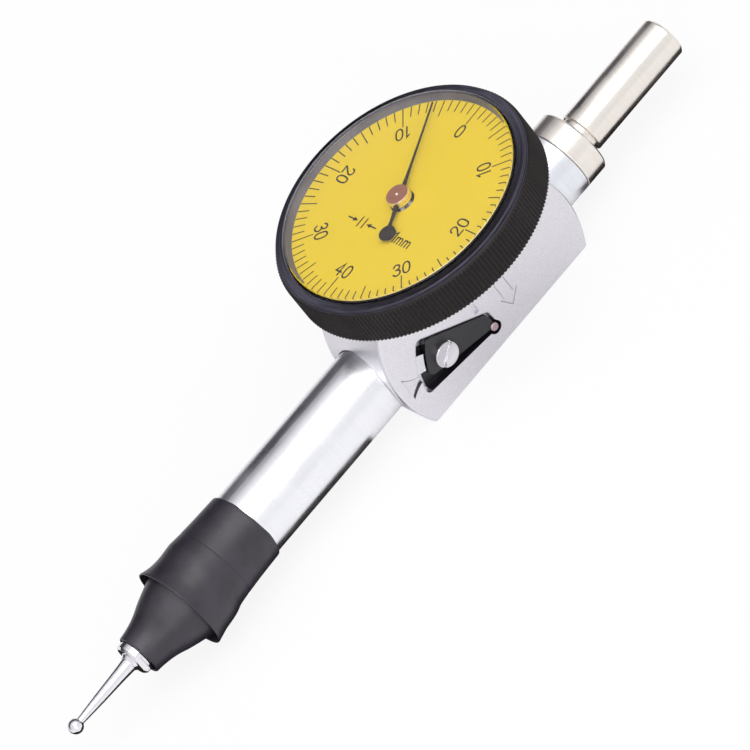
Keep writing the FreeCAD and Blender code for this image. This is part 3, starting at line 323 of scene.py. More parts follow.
# ---- stem bush -------------------------------------------------------------------------------
# A plain turned bush pressed into the round end of the body, satin plated like the body but with
# the fine lines of the lathe left round it.


def turned_metal(name, tone, shade, roughness, axis, offset=(0.0, 0.0), lines=9.0, depth=0.0015,
                 edge=0.1, anisotropic=0.5, breaks=0.15, contrast=0.7):
    """Turned or ground metal with lines round an axis, "X", "Y" or "Z", through offset in y and z."""
    material, tree, surface = start_material(name, Metallic=1.0, Anisotropic=anisotropic)
    made = use(tree, lathe_group, Along_X=float(axis == "X"), Along_Y=float(axis == "Y"),
               Along_Z=float(axis == "Z"), Offset_Y=offset[0], Offset_Z=offset[1],
               Lines_per_mm=lines, Breaks=breaks)
    worn = use(tree, edge_group, Edge_width_mm=edge)
    cloud = use(tree, grain_group, Grain_size_mm=0.2, Cloud_size_mm=5.0)
    base = mix(tree, smooth_mask(tree, made["Tone"], 0.5 - contrast / 2, 0.5 + contrast / 2), shade, tone)
    base = mix(tree, calc(tree, "MULTIPLY", worn["Edge"], 0.5), base, tone)
    rough = smooth_mask(tree, cloud["Smudge"], 0.3, 0.7, roughness - 0.04, roughness + 0.05)
    link(tree, surface, Base_Color=base, Roughness=rough,
         Normal=bump(tree, made["Height"], depth, 1.0, worn["Normal"]))
    return material, tree, surface, base


AXIS = (0.0, 7.5)
bush_metal = turned_metal("satin turned bush", rgb(246, 248, 252), rgb(226, 228, 236), 0.32, "Y", AXIS)[0]
finish(bush_metal, "stem_bush")

# ---- stem ------------------------------------------------------------------------------------
# The collar and the 6 mm shank are one piece of hardened steel, centreless ground to size, and
# screwed into the body through the bush. A relief groove parts the collar from the shank.

stem_steel = turned_metal("ground stem steel", rgb(252, 246, 238), rgb(232, 225, 218), 0.28, "Y", AXIS,
                          lines=14.0, depth=0.001, edge=0.14, anisotropic=0.6)[0]
finish(stem_steel, "stem")

# ---- tube ------------------------------------------------------------------------------------
# The long tube in front is drawn and turned, then satin chromed. It is pressed into the body and
# carries the fork and the rubber boot at its far end.

tube_metal = turned_metal("satin chromed tube", rgb(250, 250, 253), rgb(238, 239, 244), 0.3, "Y", AXIS,
                          lines=6.0, depth=0.0008, anisotropic=0.4, contrast=0.9)[0]
finish(tube_metal, "tube")

# ---- fork and contact pivot ------------------------------------------------------------------
# The fork is turned and milled steel pressed into the end of the tube. The ground pin through its
# two ears is what the contact lever and the holder turn on.

pin_steel = turned_metal("ground pin steel", rgb(214, 206, 208), rgb(182, 174, 178), 0.28, "X",
                         (-57.0, 7.5), lines=12.0)[0]
fork_steel = satin_metal("milled fork steel", rgb(196, 196, 200), rgb(160, 160, 166), 0.38, grain=0.14)[0]
finish(pin_steel, "contact_pivot")
finish(fork_steel, "pivot_fork")

# ---- contact lever, drive pin and return spring ----------------------------------------------
# A stamped lever takes the contact point's movement up the tube to the sector gear. The pin is
# pressed into it, and a leaf of blued spring steel keeps it against the work.

spring_steel = satin_metal("blued spring steel", rgb(96, 104, 128), rgb(66, 72, 92), 0.28,
                           grain=0.2, edge=0.04)[0]
plate_steel = satin_metal("nickelled plate", rgb(206, 202, 192), rgb(176, 172, 164), 0.33,
                          grain=0.12, cloud=3.0)[0]
small_steel = satin_metal("polished small steel", rgb(218, 214, 214), rgb(190, 186, 188), 0.22,
                          grain=0.15, edge=0.06)[0]
finish(plate_steel, "contact_lever")
finish(small_steel, "drive_pin")
finish(spring_steel, "return_spring")

# ---- contact point ---------------------------------------------------------------------------
# The holder turns stiffly on the pivot and ends in a flange with two spanner flats. The tapered
# stylus screws into it, and its ball is ground and hard chromed. All three are polished bright.

bright_chrome = turned_metal("bright chrome", rgb(248, 246, 250), rgb(232, 230, 236), 0.1, "Y", AXIS,
                             lines=9.0, depth=0.0006, edge=0.09, anisotropic=0.0)[0]
finish(bright_chrome, "stylus_holder", "stylus", "stylus_ball")

# ---- boot sleeve -----------------------------------------------------------------------------
# The sleeve is moulded in soft black rubber and stretched over the end of the tube, which it grips
# by its own spring. It is thin at its upper edge, and flares to a thin lip over the hollow end.


def smooth_line(points, steps, closed=False):
    """Points on a soft curve through the given points, with steps between each two."""
    count = len(points)
    line = []
    spans = count if closed else count - 1
    for index in range(spans):
        near = [points[(index + k) % count] if closed else points[min(max(index + k, 0), count - 1)]
                for k in (-1, 0, 1, 2)]
        for step in range(steps):
            t = step / steps
            line.append(tuple(
                0.5 * (2 * b + (c - a) * t + (2 * a - 5 * b + 4 * c - d) * t * t
                       + (3 * b - a - 3 * c + d) * t ** 3)
                for a, b, c, d in zip(*near)))
    if not closed:
        line.append(tuple(points[-1]))
    return line


def in_scene(name, data):
    """A new object with its data, linked to the scene."""
    thing = bpy.data.objects.new(name, data)
    bpy.context.scene.collection.objects.link(thing)
    return thing


def new_piece(name, builder, material, smooth=True):
    """An object at the origin from a bmesh whose vertices are in millimetres."""
    bmesh.ops.recalc_face_normals(builder, faces=builder.faces)
    mesh = bpy.data.meshes.new(name)
    bmesh.ops.scale(builder, vec=(MM, MM, MM), verts=builder.verts)
    builder.to_mesh(mesh)
    builder.free()
    for face in mesh.polygons:
        face.use_smooth = smooth
    mesh.materials.append(material)
    return in_scene(name, mesh)


def moulded_ring(profile, around, shape):
    """A closed profile of (y, radius) turned round the tube's axis. shape(y, radius, angle) gives the
    moulding's small unevenness as new y and radius."""
    builder = bmesh.new()
    rings = []
    for index in range(around):
        angle = 2 * math.pi * index / around
        ring = []
        for y, radius in profile:
            new_y, new_radius = shape(y, radius, angle)
            ring.append(builder.verts.new((
                new_radius * math.cos(angle), new_y, AXIS[1] + new_radius * math.sin(angle))))
        rings.append(ring)
    for index in range(around):
        first, second = rings[index], rings[(index + 1) % around]
        for k in range(len(profile)):
            following = (k + 1) % len(profile)
            builder.faces.new((first[k], second[k], second[following], first[following]))
    return builder


SAGGING_SIDE = math.radians(131)   # where the rubber hangs lowest, about the tube's axis


def sleeve_shape(y, radius, angle):
    """A slightly wavy upper edge, and a soft unevenness that is least where the tube is gripped."""
    upper = max(0.0, 1.0 - (-41.5 - y) / 1.6)
    y += upper * (0.10 * math.sin(2 * angle + 0.6) + 0.05 * math.sin(5 * angle + 1.0)
                  + 0.025 * math.sin(11 * angle))
    uneven = 0.02 * math.sin(3 * angle + 0.25 * y) + 0.01 * math.sin(7 * angle - 0.4 * y)
    if radius > 5.12:
        low_side = 0.5 - 0.5 * math.cos(angle - SAGGING_SIDE)
        pushed = max(0.0, 1.0 - ((-52.7 - y) / 2.9) ** 2)
        lip = max(0.0, 1.0 - abs(-55.1 - y) / 2.0)
        radius += uneven + (low_side - 0.5) * (0.62 * pushed + 0.3 * lip)
    return y, radius


sleeve_outside = smooth_line([
    (-41.95, 5.03), (-41.7, 5.1), (-41.62, 5.2), (-41.85, 5.3), (-42.7, 5.34), (-45.0, 5.42), (-46.6, 5.5),
    (-47.75, 5.57), (-47.9, 5.54), (-48.05, 5.58), (-49.3, 5.7), (-50.7, 5.87), (-52.0, 5.93), (-53.2, 6.02),
    (-54.2, 6.22), (-54.98, 6.42)], 5)
sleeve_inside = smooth_line([
    (-55.1, 6.4), (-55.12, 6.26), (-54.95, 6.12), (-53.9, 5.8), (-52.9, 5.5), (-52.25, 5.08), (-50.0, 5.03),
    (-46.0, 5.03), (-42.2, 5.03)], 5)


def rubber_material(name, tone, shade, dusty):
    """Moulded rubber, soft and a little dusty in its pores."""
    material, tree, surface = start_material(name, Metallic=0.0, Specular_IOR_Level=0.62)
    made = use(tree, grain_group, Grain_size_mm=0.16, Cloud_size_mm=3.4)
    spots = add(tree, "ShaderNodeTexVoronoi", {"Vector": object_point(tree), "Scale": 3.2, "Randomness": 1.0})
    base = mix(tree, smooth_mask(tree, made["Smudge"], 0.3, 0.7), shade, tone)
    dust = calc(tree, "MULTIPLY", smooth_mask(tree, spots.outputs["Distance"], 0.11, 0.04),
                smooth_mask(tree, made["Tone"], 0.5, 0.62))
    base = mix(tree, calc(tree, "MULTIPLY", dust, 0.35), base, dusty)
    rough = smooth_mask(tree, made["Tone"], 0.3, 0.7, 0.34, 0.46)
    link(tree, surface, Base_Color=base, Roughness=rough, Normal=bump(tree, made["Height"], 0.012, 1.0))
    return material


black_rubber = rubber_material("black rubber", rgb(46, 41, 52), rgb(33, 29, 37), rgb(110, 104, 122))
sleeve_mesh = moulded_ring(sleeve_outside + sleeve_inside, 120, sleeve_shape)
sleeve = new_piece("boot_sleeve_soft", sleeve_mesh, black_rubber)
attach(sleeve, "case")
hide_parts("boot_sleeve")

# ---- boot cone -------------------------------------------------------------------------------
# The cone is a second moulding of the same rubber. It closes the end of the tube and ends tightly
# round the flange of the holder. The real cone folds as the contact point is set to an angle; here it is one
# fixed shape.


def cone_shape(y, radius, angle):
    """The soft unevenness of a thin moulding, which fades towards the flange."""
    soft = min(1.0, max(0.0, (y + 62.5) / 5.0))
    radius += soft * (0.03 * math.sin(2 * angle + 0.5 * y) + 0.012 * math.sin(5 * angle + 0.9 * y))
    radius += 0.12 - 0.2 * math.cos(angle - SAGGING_SIDE)
    return y, radius


cone_outside = smooth_line([
    (-53.5, 5.15), (-54.6, 5.12), (-56.0, 4.75), (-58.0, 4.12), (-59.2, 3.66), (-60.4, 3.3), (-61.6, 3.07),
    (-62.4, 2.97), (-62.75, 2.93), (-62.88, 2.8)], 5)
cone_inside = smooth_line([
    (-62.88, 2.6), (-61.4, 2.62), (-60.2, 2.86), (-58.6, 3.42), (-56.8, 4.05), (-55.0, 4.62), (-53.6, 4.75)], 5)
cone = new_piece("boot_cone_soft", moulded_ring(cone_outside + cone_inside, 96, cone_shape), black_rubber)
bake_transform(cone)
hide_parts("boot_cone")

# ---- movement plates, pillars and screws -----------------------------------------------------
# Two stamped and nickelled plates hold the gear train between them. Turned brass pillars keep them
# apart, and slotted steel screws go through the body into the pillars' ends.

brushed_plate = turned_metal("brushed movement plate", rgb(208, 204, 196), rgb(182, 178, 170), 0.3, "Z",
                             lines=10.0, anisotropic=0.0)[0]
gear_brass = satin_metal("cut brass", rgb(226, 190, 112), rgb(198, 158, 84), 0.27,
                         grain=0.15, edge=0.05, cloud=2.5)[0]
screw_steel = turned_metal("slotted screw steel", rgb(210, 206, 208), rgb(172, 168, 172), 0.25, "X", (0.0, 7.5),
                           lines=10.0, anisotropic=0.0, edge=0.07)[0]
finish(brushed_plate, "movement_plate_left", "movement_plate_right")
finish(gear_brass, "plate_pillars")
finish(screw_steel, "plate_screws")

# ---- jewels ----------------------------------------------------------------------------------
# The arbors' journals run in synthetic ruby jewels, ground, polished and pressed into the plates
# and the bridge. Ruby is clear and deep red, with a little of the light going in.


def ruby_material():
    """Clear polished ruby."""
    material, tree, surface = start_material(
        "ruby", Metallic=0.0, IOR=1.76, Transmission_Weight=0.35)
    made = use(tree, grain_group, Grain_size_mm=0.25, Cloud_size_mm=0.8)
    base = mix(tree, smooth_mask(tree, made["Smudge"], 0.35, 0.65), rgb(150, 16, 34), rgb(205, 44, 66))
    rough = smooth_mask(tree, made["Tone"], 0.3, 0.7, 0.05, 0.1)
    link(tree, surface, Base_Color=base, Roughness=rough)
    return material


ruby = ruby_material()
finish(ruby, "jewel_bearings", "hand_jewel")

# ---- gear train ------------------------------------------------------------------------------
# The sector turns the crown arbor's pinion, and the crown gear's face teeth turn the hand's pinion.
# The wheels are cut brass, and the arbors with their pinions are hardened and burnished steel.

arbor_steel = satin_metal("burnished arbor steel", rgb(206, 206, 212), rgb(174, 174, 182), 0.16,
                          grain=0.18, edge=0.03)[0]
finish(gear_brass, "sector_gear", "crown_wheel", "hand_cock")
finish(arbor_steel, "sector_arbor", "crown_arbor", "hand_arbor")

# ---- hand bridge and hairspring --------------------------------------------------------------
# The bridge spans the head under the dial and holds the hand arbor's upper jewel. The hairspring
# is coiled from flat blued strip, and takes up the play of the teeth.

finish(brushed_plate, "hand_bridge")
finish(small_steel, "bridge_screws")
finish(spring_steel, "hairspring")

# ---- bezel and bezel spring ------------------------------------------------------------------
# The bezel is turned from aluminium, straight knurled and dyed black. It snaps over the head on a
# sprung wire ring, and turns by hand with the dial to set zero.


def dial_radius(tree, x, y):
    """A point's distance from the dial's axis."""
    return calc(tree, "SQRT", calc(tree, "ADD", calc(tree, "MULTIPLY", x, x), calc(tree, "MULTIPLY", y, y)))


def bezel_material():
    """Black anodising: dark, with the lathe's lines showing, and paler where the knurl's edges rub."""
    material, tree, surface = start_material("black anodised bezel", Metallic=1.0, Anisotropic=0.9)
    tangent = add(tree, "ShaderNodeTangent", direction_type="RADIAL", axis="Z")
    made = use(tree, lathe_group, Along_Y=0.0, Along_Z=1.0, Lines_per_mm=9.0, Breaks=0.3)
    worn = use(tree, edge_group, Edge_width_mm=0.05)
    cloud = use(tree, grain_group, Grain_size_mm=0.12, Cloud_size_mm=4.0)
    x, y, z = split(tree, object_point(tree))
    radius = dial_radius(tree, x, y)
    base = mix(tree, smooth_mask(tree, made["Tone"], 0.3, 0.7), rgb(62, 60, 68), rgb(96, 94, 108))
    knurl = calc(tree, "MULTIPLY", smooth_mask(tree, radius, 17.62, 17.7), smooth_mask(tree, z, 22.79, 22.75))
    base = mix(tree, knurl, base, rgb(58, 54, 54))
    base = mix(tree, calc(tree, "MULTIPLY", worn["Edge"], 0.3), base, rgb(150, 146, 150))
    rough = smooth_mask(tree, cloud["Smudge"], 0.3, 0.7, 0.44, 0.52)
    link(tree, surface, Base_Color=base, Roughness=rough, Tangent=tangent.outputs[0],
         Normal=bump(tree, made["Height"], 0.002, 1.0, worn["Normal"]))
    return material


bezel_black = bezel_material()
finish(bezel_black, "bezel")
finish(spring_steel, "bezel_spring")

# ---- dial ------------------------------------------------------------------------------------
# The dial is a brass disc, stove enamelled yellow and lightly matt. It is held in the bezel under
# the retainer, so it turns with the bezel, and the hand's arbor comes through its middle.


def enamel_material():
    """Yellow enamel with a faint grain and slow clouds."""
    material, tree, surface = start_material("yellow enamel", Metallic=0.0, Specular_IOR_Level=0.16)
    made = use(tree, grain_group, Grain_size_mm=0.22, Cloud_size_mm=9.0)
    base = mix(tree, smooth_mask(tree, made["Tone"], 0.25, 0.75), rgb(238, 203, 26), rgb(246, 214, 44))
    base = mix(tree, smooth_mask(tree, made["Smudge"], 0.3, 0.7, 0.0, 0.25), base, rgb(228, 194, 34))
    rough = smooth_mask(tree, made["Tone"], 0.3, 0.7, 0.42, 0.52)
    link(tree, surface, Base_Color=base, Roughness=rough, Normal=bump(tree, made["Height"], 0.004, 1.0))
    return material


finish(enamel_material(), "dial")
DIAL_FACE = 22.2
DIAL_TURN = math.radians(1.03)

# ---- dial graduations ------------------------------------------------------------------------
# Eighty divisions are pad printed round the dial in dark brown ink, every fifth one longer and
# every tenth one longer still. The print stands a hundredth of a millimetre above the enamel.


def ink_material():
    """Dark brown printing ink."""
    material, tree, surface = start_material("dial ink", Metallic=0.0, Specular_IOR_Level=0.08)
    made = use(tree, grain_group, Grain_size_mm=0.07, Cloud_size_mm=2.0)
    base = mix(tree, smooth_mask(tree, made["Tone"], 0.3, 0.7), rgb(24, 13, 8), rgb(40, 25, 15))
    rough = smooth_mask(tree, made["Smudge"], 0.3, 0.7, 0.45, 0.6)
    link(tree, surface, Base_Color=base, Roughness=rough)
    return material


def graduation_tree():
    """A ring of thin printed bars that all end at the outer radius, turned about the dial's middle."""
    tree = bpy.data.node_groups.new("dial graduations", "GeometryNodeTree")
    for label, kind, value in (
            ("Outer radius", "NodeSocketFloat", 0.01553), ("Bar length", "NodeSocketFloat", 0.00166),
            ("Bar width", "NodeSocketFloat", 0.00015), ("Thickness", "NodeSocketFloat", 0.00002),
            ("Face height", "NodeSocketFloat", 0.0222), ("Turn", "NodeSocketFloat", 0.0),
            ("Bars", "NodeSocketInt", 80), ("Left out every", "NodeSocketInt", 5),
            ("Left out from", "NodeSocketInt", 0), ("Ink", "NodeSocketMaterial", None)):
        socket = tree.interface.new_socket(name=label, in_out="INPUT", socket_type=kind)
        if value is not None:
            socket.default_value = value
    tree.interface.new_socket(name="Bars", in_out="OUTPUT", socket_type="NodeSocketGeometry")
    given = tree.nodes.new("NodeGroupInput").outputs
    out = tree.nodes.new("NodeGroupOutput").inputs
    index = add(tree, "GeometryNodeInputIndex").outputs[0]
    step = calc(tree, "DIVIDE", 2 * math.pi, given["Bars"])
    angle = calc(tree, "MULTIPLY_ADD", index, step, given["Turn"])
    middle = calc(tree, "SUBTRACT", given["Outer radius"], calc(tree, "MULTIPLY", given["Bar length"], 0.5))
    place = add(tree, "ShaderNodeCombineXYZ", {
        0: calc(tree, "MULTIPLY", calc(tree, "SINE", angle), calc(tree, "MULTIPLY", middle, -1.0)),
        1: calc(tree, "MULTIPLY", calc(tree, "COSINE", angle), middle), 2: given["Face height"]}).outputs[0]
    points = add(tree, "GeometryNodePoints", {"Count": given["Bars"], "Position": place}).outputs[0]
    skipped = calc(tree, "MODULO", calc(tree, "ADD", index, given["Left out from"]), given["Left out every"])
    kept = add(tree, "FunctionNodeCompare", {0: skipped, 1: 0.5}, data_type="FLOAT",
               operation="GREATER_THAN").outputs[0]
    size = add(tree, "ShaderNodeCombineXYZ", {
        0: given["Bar width"], 1: given["Bar length"], 2: given["Thickness"]}).outputs[0]
    bar = add(tree, "GeometryNodeMeshCube", {"Size": size}).outputs[0]
    turn = add(tree, "ShaderNodeCombineXYZ", {2: angle}).outputs[0]
    bars = add(tree, "GeometryNodeInstanceOnPoints", {
        "Points": points, "Selection": kept, "Instance": bar, "Rotation": turn}).outputs[0]
    real = add(tree, "GeometryNodeRealizeInstances", {"Geometry": bars}).outputs[0]
    painted = add(tree, "GeometryNodeSetMaterial", {"Geometry": real, "Material": given["Ink"]}).outputs[0]
    tree.links.new(painted, out[0])
    return tree


def grown_piece(name, tree, **values):
    """Runs a geometry tree on an empty mesh and keeps the result as a plain mesh."""
    maker = in_scene(name + "_maker", bpy.data.meshes.new(name + "_maker"))
    modifier = maker.modifiers.new("Grow", "NODES")
    modifier.node_group = tree
    sockets = {item.name: item.identifier for item in tree.interface.items_tree if item.in_out == "INPUT"}
    for key, value in values.items():
        modifier[sockets[key.replace("_", " ")]] = value
    bpy.context.view_layer.update()
    grown = maker.evaluated_get(bpy.context.evaluated_depsgraph_get())
    mesh = bpy.data.meshes.new_from_object(grown)
    maker.modifiers.remove(modifier)
    bpy.data.objects.remove(maker)
    return in_scene(name, mesh)


ink = ink_material()
graduations = graduation_tree()
for name, bars, length, every, first in (
        ("division_lines", 80, 0.00166, 5, 0),
        ("half_lines", 16, 0.00246, 2, 0),
        ("number_lines", 8, 0.00298, 9, 1)):
    lines = grown_piece(name, graduations, Bars=bars, Bar_length=length, Left_out_every=every,
                        Left_out_from=first, Turn=DIAL_TURN, Ink=ink)
    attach(lines, "bezel_head")

# ---- dial numbers and signs ------------------------------------------------------------------
# The numbers count up both ways from 0 to 40. Beside the middle are the sign for a reading in both
# directions and the value of one division, all printed with the same ink and a thin round stroke.

DIGITS = {
    "0": [([(0, 0.9), (-0.36, 0.66), (-0.47, 0), (-0.36, -0.66), (0, -0.9), (0.36, -0.66), (0.47, 0),
            (0.36, 0.66)], "loop")],
    "1": [([(0.12, -0.9), (0.12, 0.9), (-0.22, 0.56)], "straight")],
    "2": [([(-0.46, 0.42), (-0.34, 0.76), (0.0, 0.9), (0.37, 0.74), (0.45, 0.38), (0.2, -0.06),
            (-0.18, -0.48), (-0.48, -0.88)], "curve"),
          ([(-0.48, -0.88), (0.5, -0.88)], "straight")],
    "3": [([(-0.42, 0.52), (-0.28, 0.8), (0.02, 0.9), (0.36, 0.74), (0.38, 0.36), (0.18, 0.12),
            (-0.1, 0.06)], "curve"),
          ([(-0.1, 0.06), (0.25, 0.0), (0.47, -0.24), (0.46, -0.6), (0.2, -0.86), (-0.16, -0.88),
            (-0.46, -0.6)], "curve")],
    "4": [([(0.2, -0.9), (0.2, 0.9), (-0.5, -0.36), (0.52, -0.36)], "straight")],
    ".": [([(0.0, -0.86), (0.02, -0.82)], "straight")],
    "m": [([(-0.62, -0.9), (-0.62, 0.22)], "straight"),
          ([(-0.62, -0.1), (-0.48, 0.16), (-0.26, 0.24), (-0.06, 0.12), (0.0, -0.14), (0.0, -0.9)], "curve"),
          ([(0.0, -0.1), (0.14, 0.16), (0.36, 0.24), (0.56, 0.12), (0.62, -0.14), (0.62, -0.9)], "curve")],
    ">": [([(-1.0, 0), (0.2, 0)], "straight"), ([(0.1, 0.36), (1.0, 0), (0.1, -0.36)], "solid")],
    "<": [([(1.0, 0), (-0.2, 0)], "straight"), ([(-0.1, -0.36), (-1.0, 0), (-0.1, 0.36)], "solid")],
    "|": [([(0, -0.8), (0, 0.8)], "straight")],
}
PRINT_HIGH = 0.012
STROKE = 0.23


def print_stroke(builder, line, closed, width, place):
    """A flat printed stroke with round ends along a line of points in the character's own plane."""
    count = len(line)
    sides = []
    for index in range(count):
        before = Vector(line[(index - 1) % count] if closed else line[max(index - 1, 0)])
        after = Vector(line[(index + 1) % count] if closed else line[min(index + 1, count - 1)])
        here = Vector(line[index])
        arriving, leaving = (here - before), (after - here)
        arriving = arriving.normalized() if arriving.length > 1e-9 else leaving.normalized()
        leaving = leaving.normalized() if leaving.length > 1e-9 else arriving
        along = (arriving + leaving).normalized()
        across = Vector((-along.y, along.x)) * (width / 2) / max(along.dot(leaving), 0.45)
        sides.append((here + across, here - across))
    outline = [left for left, right in sides]
    if not closed:
        outline += round_end(line[-2], line[-1], width)
        outline += [right for left, right in reversed(sides)]
        outline += round_end(line[1], line[0], width)
        flat_print(builder, [outline], place)
    else:
        flat_print(builder, [[left for left, right in sides], [right for left, right in sides]], place)


def round_end(before, end, width):
    """The points of a half circle past a stroke's end."""
    along = (Vector(end) - Vector(before)).normalized()
    start = math.atan2(along.x, -along.y)
    return [Vector(end) + Vector((math.cos(angle), math.sin(angle))) * (width / 2)
            for angle in (start - math.pi * k / 6 for k in range(1, 6))]


def close_wall(builder, under, over):
    """Faces between two closed loops with the same number of points."""
    for index in range(len(under)):
        following = (index + 1) % len(under)
        builder.faces.new((under[index], under[following], over[following], over[index]))


def flat_print(builder, outlines, place):
    """A thin closed slab of ink: one outline, or a ring between two."""
    low = [[builder.verts.new(place(point, -PRINT_HIGH)) for point in outline] for outline in outlines]
    high = [[builder.verts.new(place(point, PRINT_HIGH)) for point in outline] for outline in outlines]
    for under, over in zip(low, high):
        close_wall(builder, under, over)
    if len(outlines) == 1:
        builder.faces.new(low[0])
        builder.faces.new(high[0])
    else:
        for inner, outer in (low, high):
            close_wall(builder, inner, outer)


def print_character(builder, character, size, place, width=STROKE):
    """Prints one character from its strokes."""
    for line, kind in DIGITS[character]:
        line = [(x * size, y * size) for x, y in line]
        if kind == "solid":
            flat_print(builder, [line], place)
            continue
        if kind != "straight":
            line = smooth_line(line, 5, kind == "loop")
        print_stroke(builder, line, kind == "loop", width, place)


def dial_place(origin, right, up):
    """Turns a character's point and height into a place on the dial."""
    turn = Matrix.Rotation(DIAL_TURN, 2)
    def place(point, height):
        flat = turn @ (Vector(origin) + Vector(right) * point[0] + Vector(up) * point[1])
        return (flat.x, flat.y, DIAL_FACE + height)
    return place


def print_word(builder, word, origin, right, up, size, spacing, width=STROKE):
    """Characters side by side, centred on origin. spacing gives each character's width in sizes."""
    total = sum(spacing[character] for character in word) * size
    start = -total / 2
    for character in word:
        middle = start + spacing[character] * size / 2
        place_at = Vector(origin) + Vector(right) * middle
        print_character(builder, character, size, dial_place(place_at, right, up), width)
        start += spacing[character] * size


WIDTHS = {"0": 1.36, "1": 1.0, "2": 1.36, "3": 1.36, "4": 1.4, ".": 0.62, "m": 1.72,
          ">": 2.0, "<": 2.0, "|": 0.95}
UNIT_WIDTHS = {**WIDTHS, "0": 1.02, ".": 0.44, "1": 0.74, "m": 1.76}
numbers = bmesh.new()
for tens in range(8):
    value = 10 * min(tens, 8 - tens)
    angle = math.radians(45 * tens)
    outward = Vector((-math.sin(angle), math.cos(angle)))
    print_word(numbers, str(value), outward * 11.45, (-outward.y, outward.x), -outward, 1.0, WIDTHS)
number_print = new_piece("dial_numbers", numbers, ink, smooth=False)
signs = bmesh.new()
print_word(signs, ">||<", (-3.2, -4.75), (1, 0), (0, 1), 0.9, WIDTHS, 0.2)
print_word(signs, "0.01mm", (3.75, -4.7), (1, 0), (0, 1), 0.83, UNIT_WIDTHS, 0.19)
sign_print = new_piece("dial_signs", signs, ink, smooth=False)
for printed in (number_print, sign_print):
    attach(printed, "bezel_head")

# ---- crystal retainer ------------------------------------------------------------------------
# A grey nylon ring under the edge of the crystal presses the dial down on its ledge. Its sloped
# inner face shows as a soft band round the dial.


def nylon_material():
    """Moulded grey nylon."""
    material, tree, surface = start_material("grey nylon", Metallic=0.0, Specular_IOR_Level=0.45)
    made = use(tree, grain_group, Grain_size_mm=0.12, Cloud_size_mm=5.0)
    base = mix(tree, smooth_mask(tree, made["Smudge"], 0.3, 0.7), rgb(92, 88, 98), rgb(112, 108, 116))
    rough = smooth_mask(tree, made["Tone"], 0.3, 0.7, 0.32, 0.42)
    link(tree, surface, Base_Color=base, Roughness=rough, Normal=bump(tree, made["Height"], 0.004, 1.0))
    return material


finish(nylon_material(), "crystal_retainer")

# ---- crystal ---------------------------------------------------------------------------------
# The crystal is a shallow dome of clear acrylic, moulded and polished, and pressed into the bezel.


def clear_material():
    """Clear acrylic that lets the light through to the dial below."""
    material, tree, surface = start_material(
        "clear acrylic", Metallic=0.0, IOR=1.49, Transmission_Weight=1.0)
    made = use(tree, grain_group, Grain_size_mm=3.0, Cloud_size_mm=12.0)
    base = mix(tree, smooth_mask(tree, made["Smudge"], 0.3, 0.7), rgb(253, 253, 252), rgb(255, 255, 255))
    rough = smooth_mask(tree, made["Tone"], 0.3, 0.7, 0.0, 0.004)
    link(tree, surface, Base_Color=base, Roughness=rough)
    output = surface.outputs[0].links[0].to_node
    path = add(tree, "ShaderNodeLightPath").outputs
    passing = calc(tree, "MAXIMUM", path["Is Shadow Ray"], path["Is Diffuse Ray"])
    clear = add(tree, "ShaderNodeBsdfTransparent", {"Color": rgb(250, 250, 248)})
    both = add(tree, "ShaderNodeMixShader", {0: passing, 1: surface.outputs[0], 2: clear.outputs[0]})
    tree.links.new(both.outputs[0], output.inputs[0])
    return material


def turned_dome(edge_radius, edge_low, edge_high, rise, wall, around, rings):
    """A clear cap with a flat edge under it, its two faces parts of spheres."""
    def cap(radius, base, top):
        curve = (radius ** 2 + top ** 2) / (2 * top)
        return [(radius * k / rings, base + top - curve + math.sqrt(curve ** 2 - (radius * k / rings) ** 2))
                for k in range(1, rings + 1)]
    outer = cap(edge_radius, edge_high, rise)
    inner = cap(edge_radius - wall, edge_low, rise + edge_high - edge_low - wall)
    profile = outer + [(edge_radius, edge_low)] + inner[::-1]
    builder = bmesh.new()
    top = builder.verts.new((0, 0, edge_high + rise))
    bottom = builder.verts.new((0, 0, edge_high + rise - wall))
    turns = [[builder.verts.new((r * math.cos(a), r * math.sin(a), z)) for r, z in profile]
             for a in (2 * math.pi * k / around for k in range(around))]
    for here, after in zip(turns, turns[1:] + turns[:1]):
        builder.faces.new((top, here[0], after[0]))
        builder.faces.new((bottom, after[-1], here[-1]))
        for k in range(len(profile) - 1):
            builder.faces.new((here[k], here[k + 1], after[k + 1], after[k]))
    return builder


crystal_low, crystal_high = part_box("crystal")
edge_low = crystal_low.z * 1000
edge_high = edge_low + 0.75
dome = turned_dome(crystal_high.x * 1000, edge_low, edge_high, rise=crystal_high.z * 1000 - edge_high,
                   wall=0.7, around=192, rings=40)
lens = new_piece("crystal_dome", dome, clear_material())
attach(lens, "bezel_head")
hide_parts("crystal")

# ---- hand and hub ----------------------------------------------------------------------------
# The hand is stamped from thin aluminium and painted black, with a round counterweight. It is
# riveted to a bronze hub, turned with a polished side, that is pushed on the arbor's taper. The
# hub's side is coloured near white, a painted highlight on the polish.


def lacquer_material(name, tone, shade, roughness, coat=0.3, specular=0.5):
    """Black lacquer or paint with a little dust in it."""
    material, tree, surface = start_material(name, Metallic=0.0, Specular_IOR_Level=specular, Coat_Weight=coat,
                                                     Coat_Roughness=0.18)
    made = use(tree, grain_group, Grain_size_mm=0.1, Cloud_size_mm=3.0)
    worn = use(tree, edge_group, Edge_width_mm=0.06)
    base = mix(tree, smooth_mask(tree, made["Tone"], 0.3, 0.7), shade, tone)
    base = mix(tree, calc(tree, "MULTIPLY", worn["Edge"], 0.2), base, rgb(120, 116, 120))
    rough = smooth_mask(tree, made["Smudge"], 0.3, 0.7, roughness - 0.05, roughness + 0.05)
    link(tree, surface, Base_Color=base, Roughness=rough,
         Normal=bump(tree, made["Height"], 0.004, 1.0, worn["Normal"]))
    return material


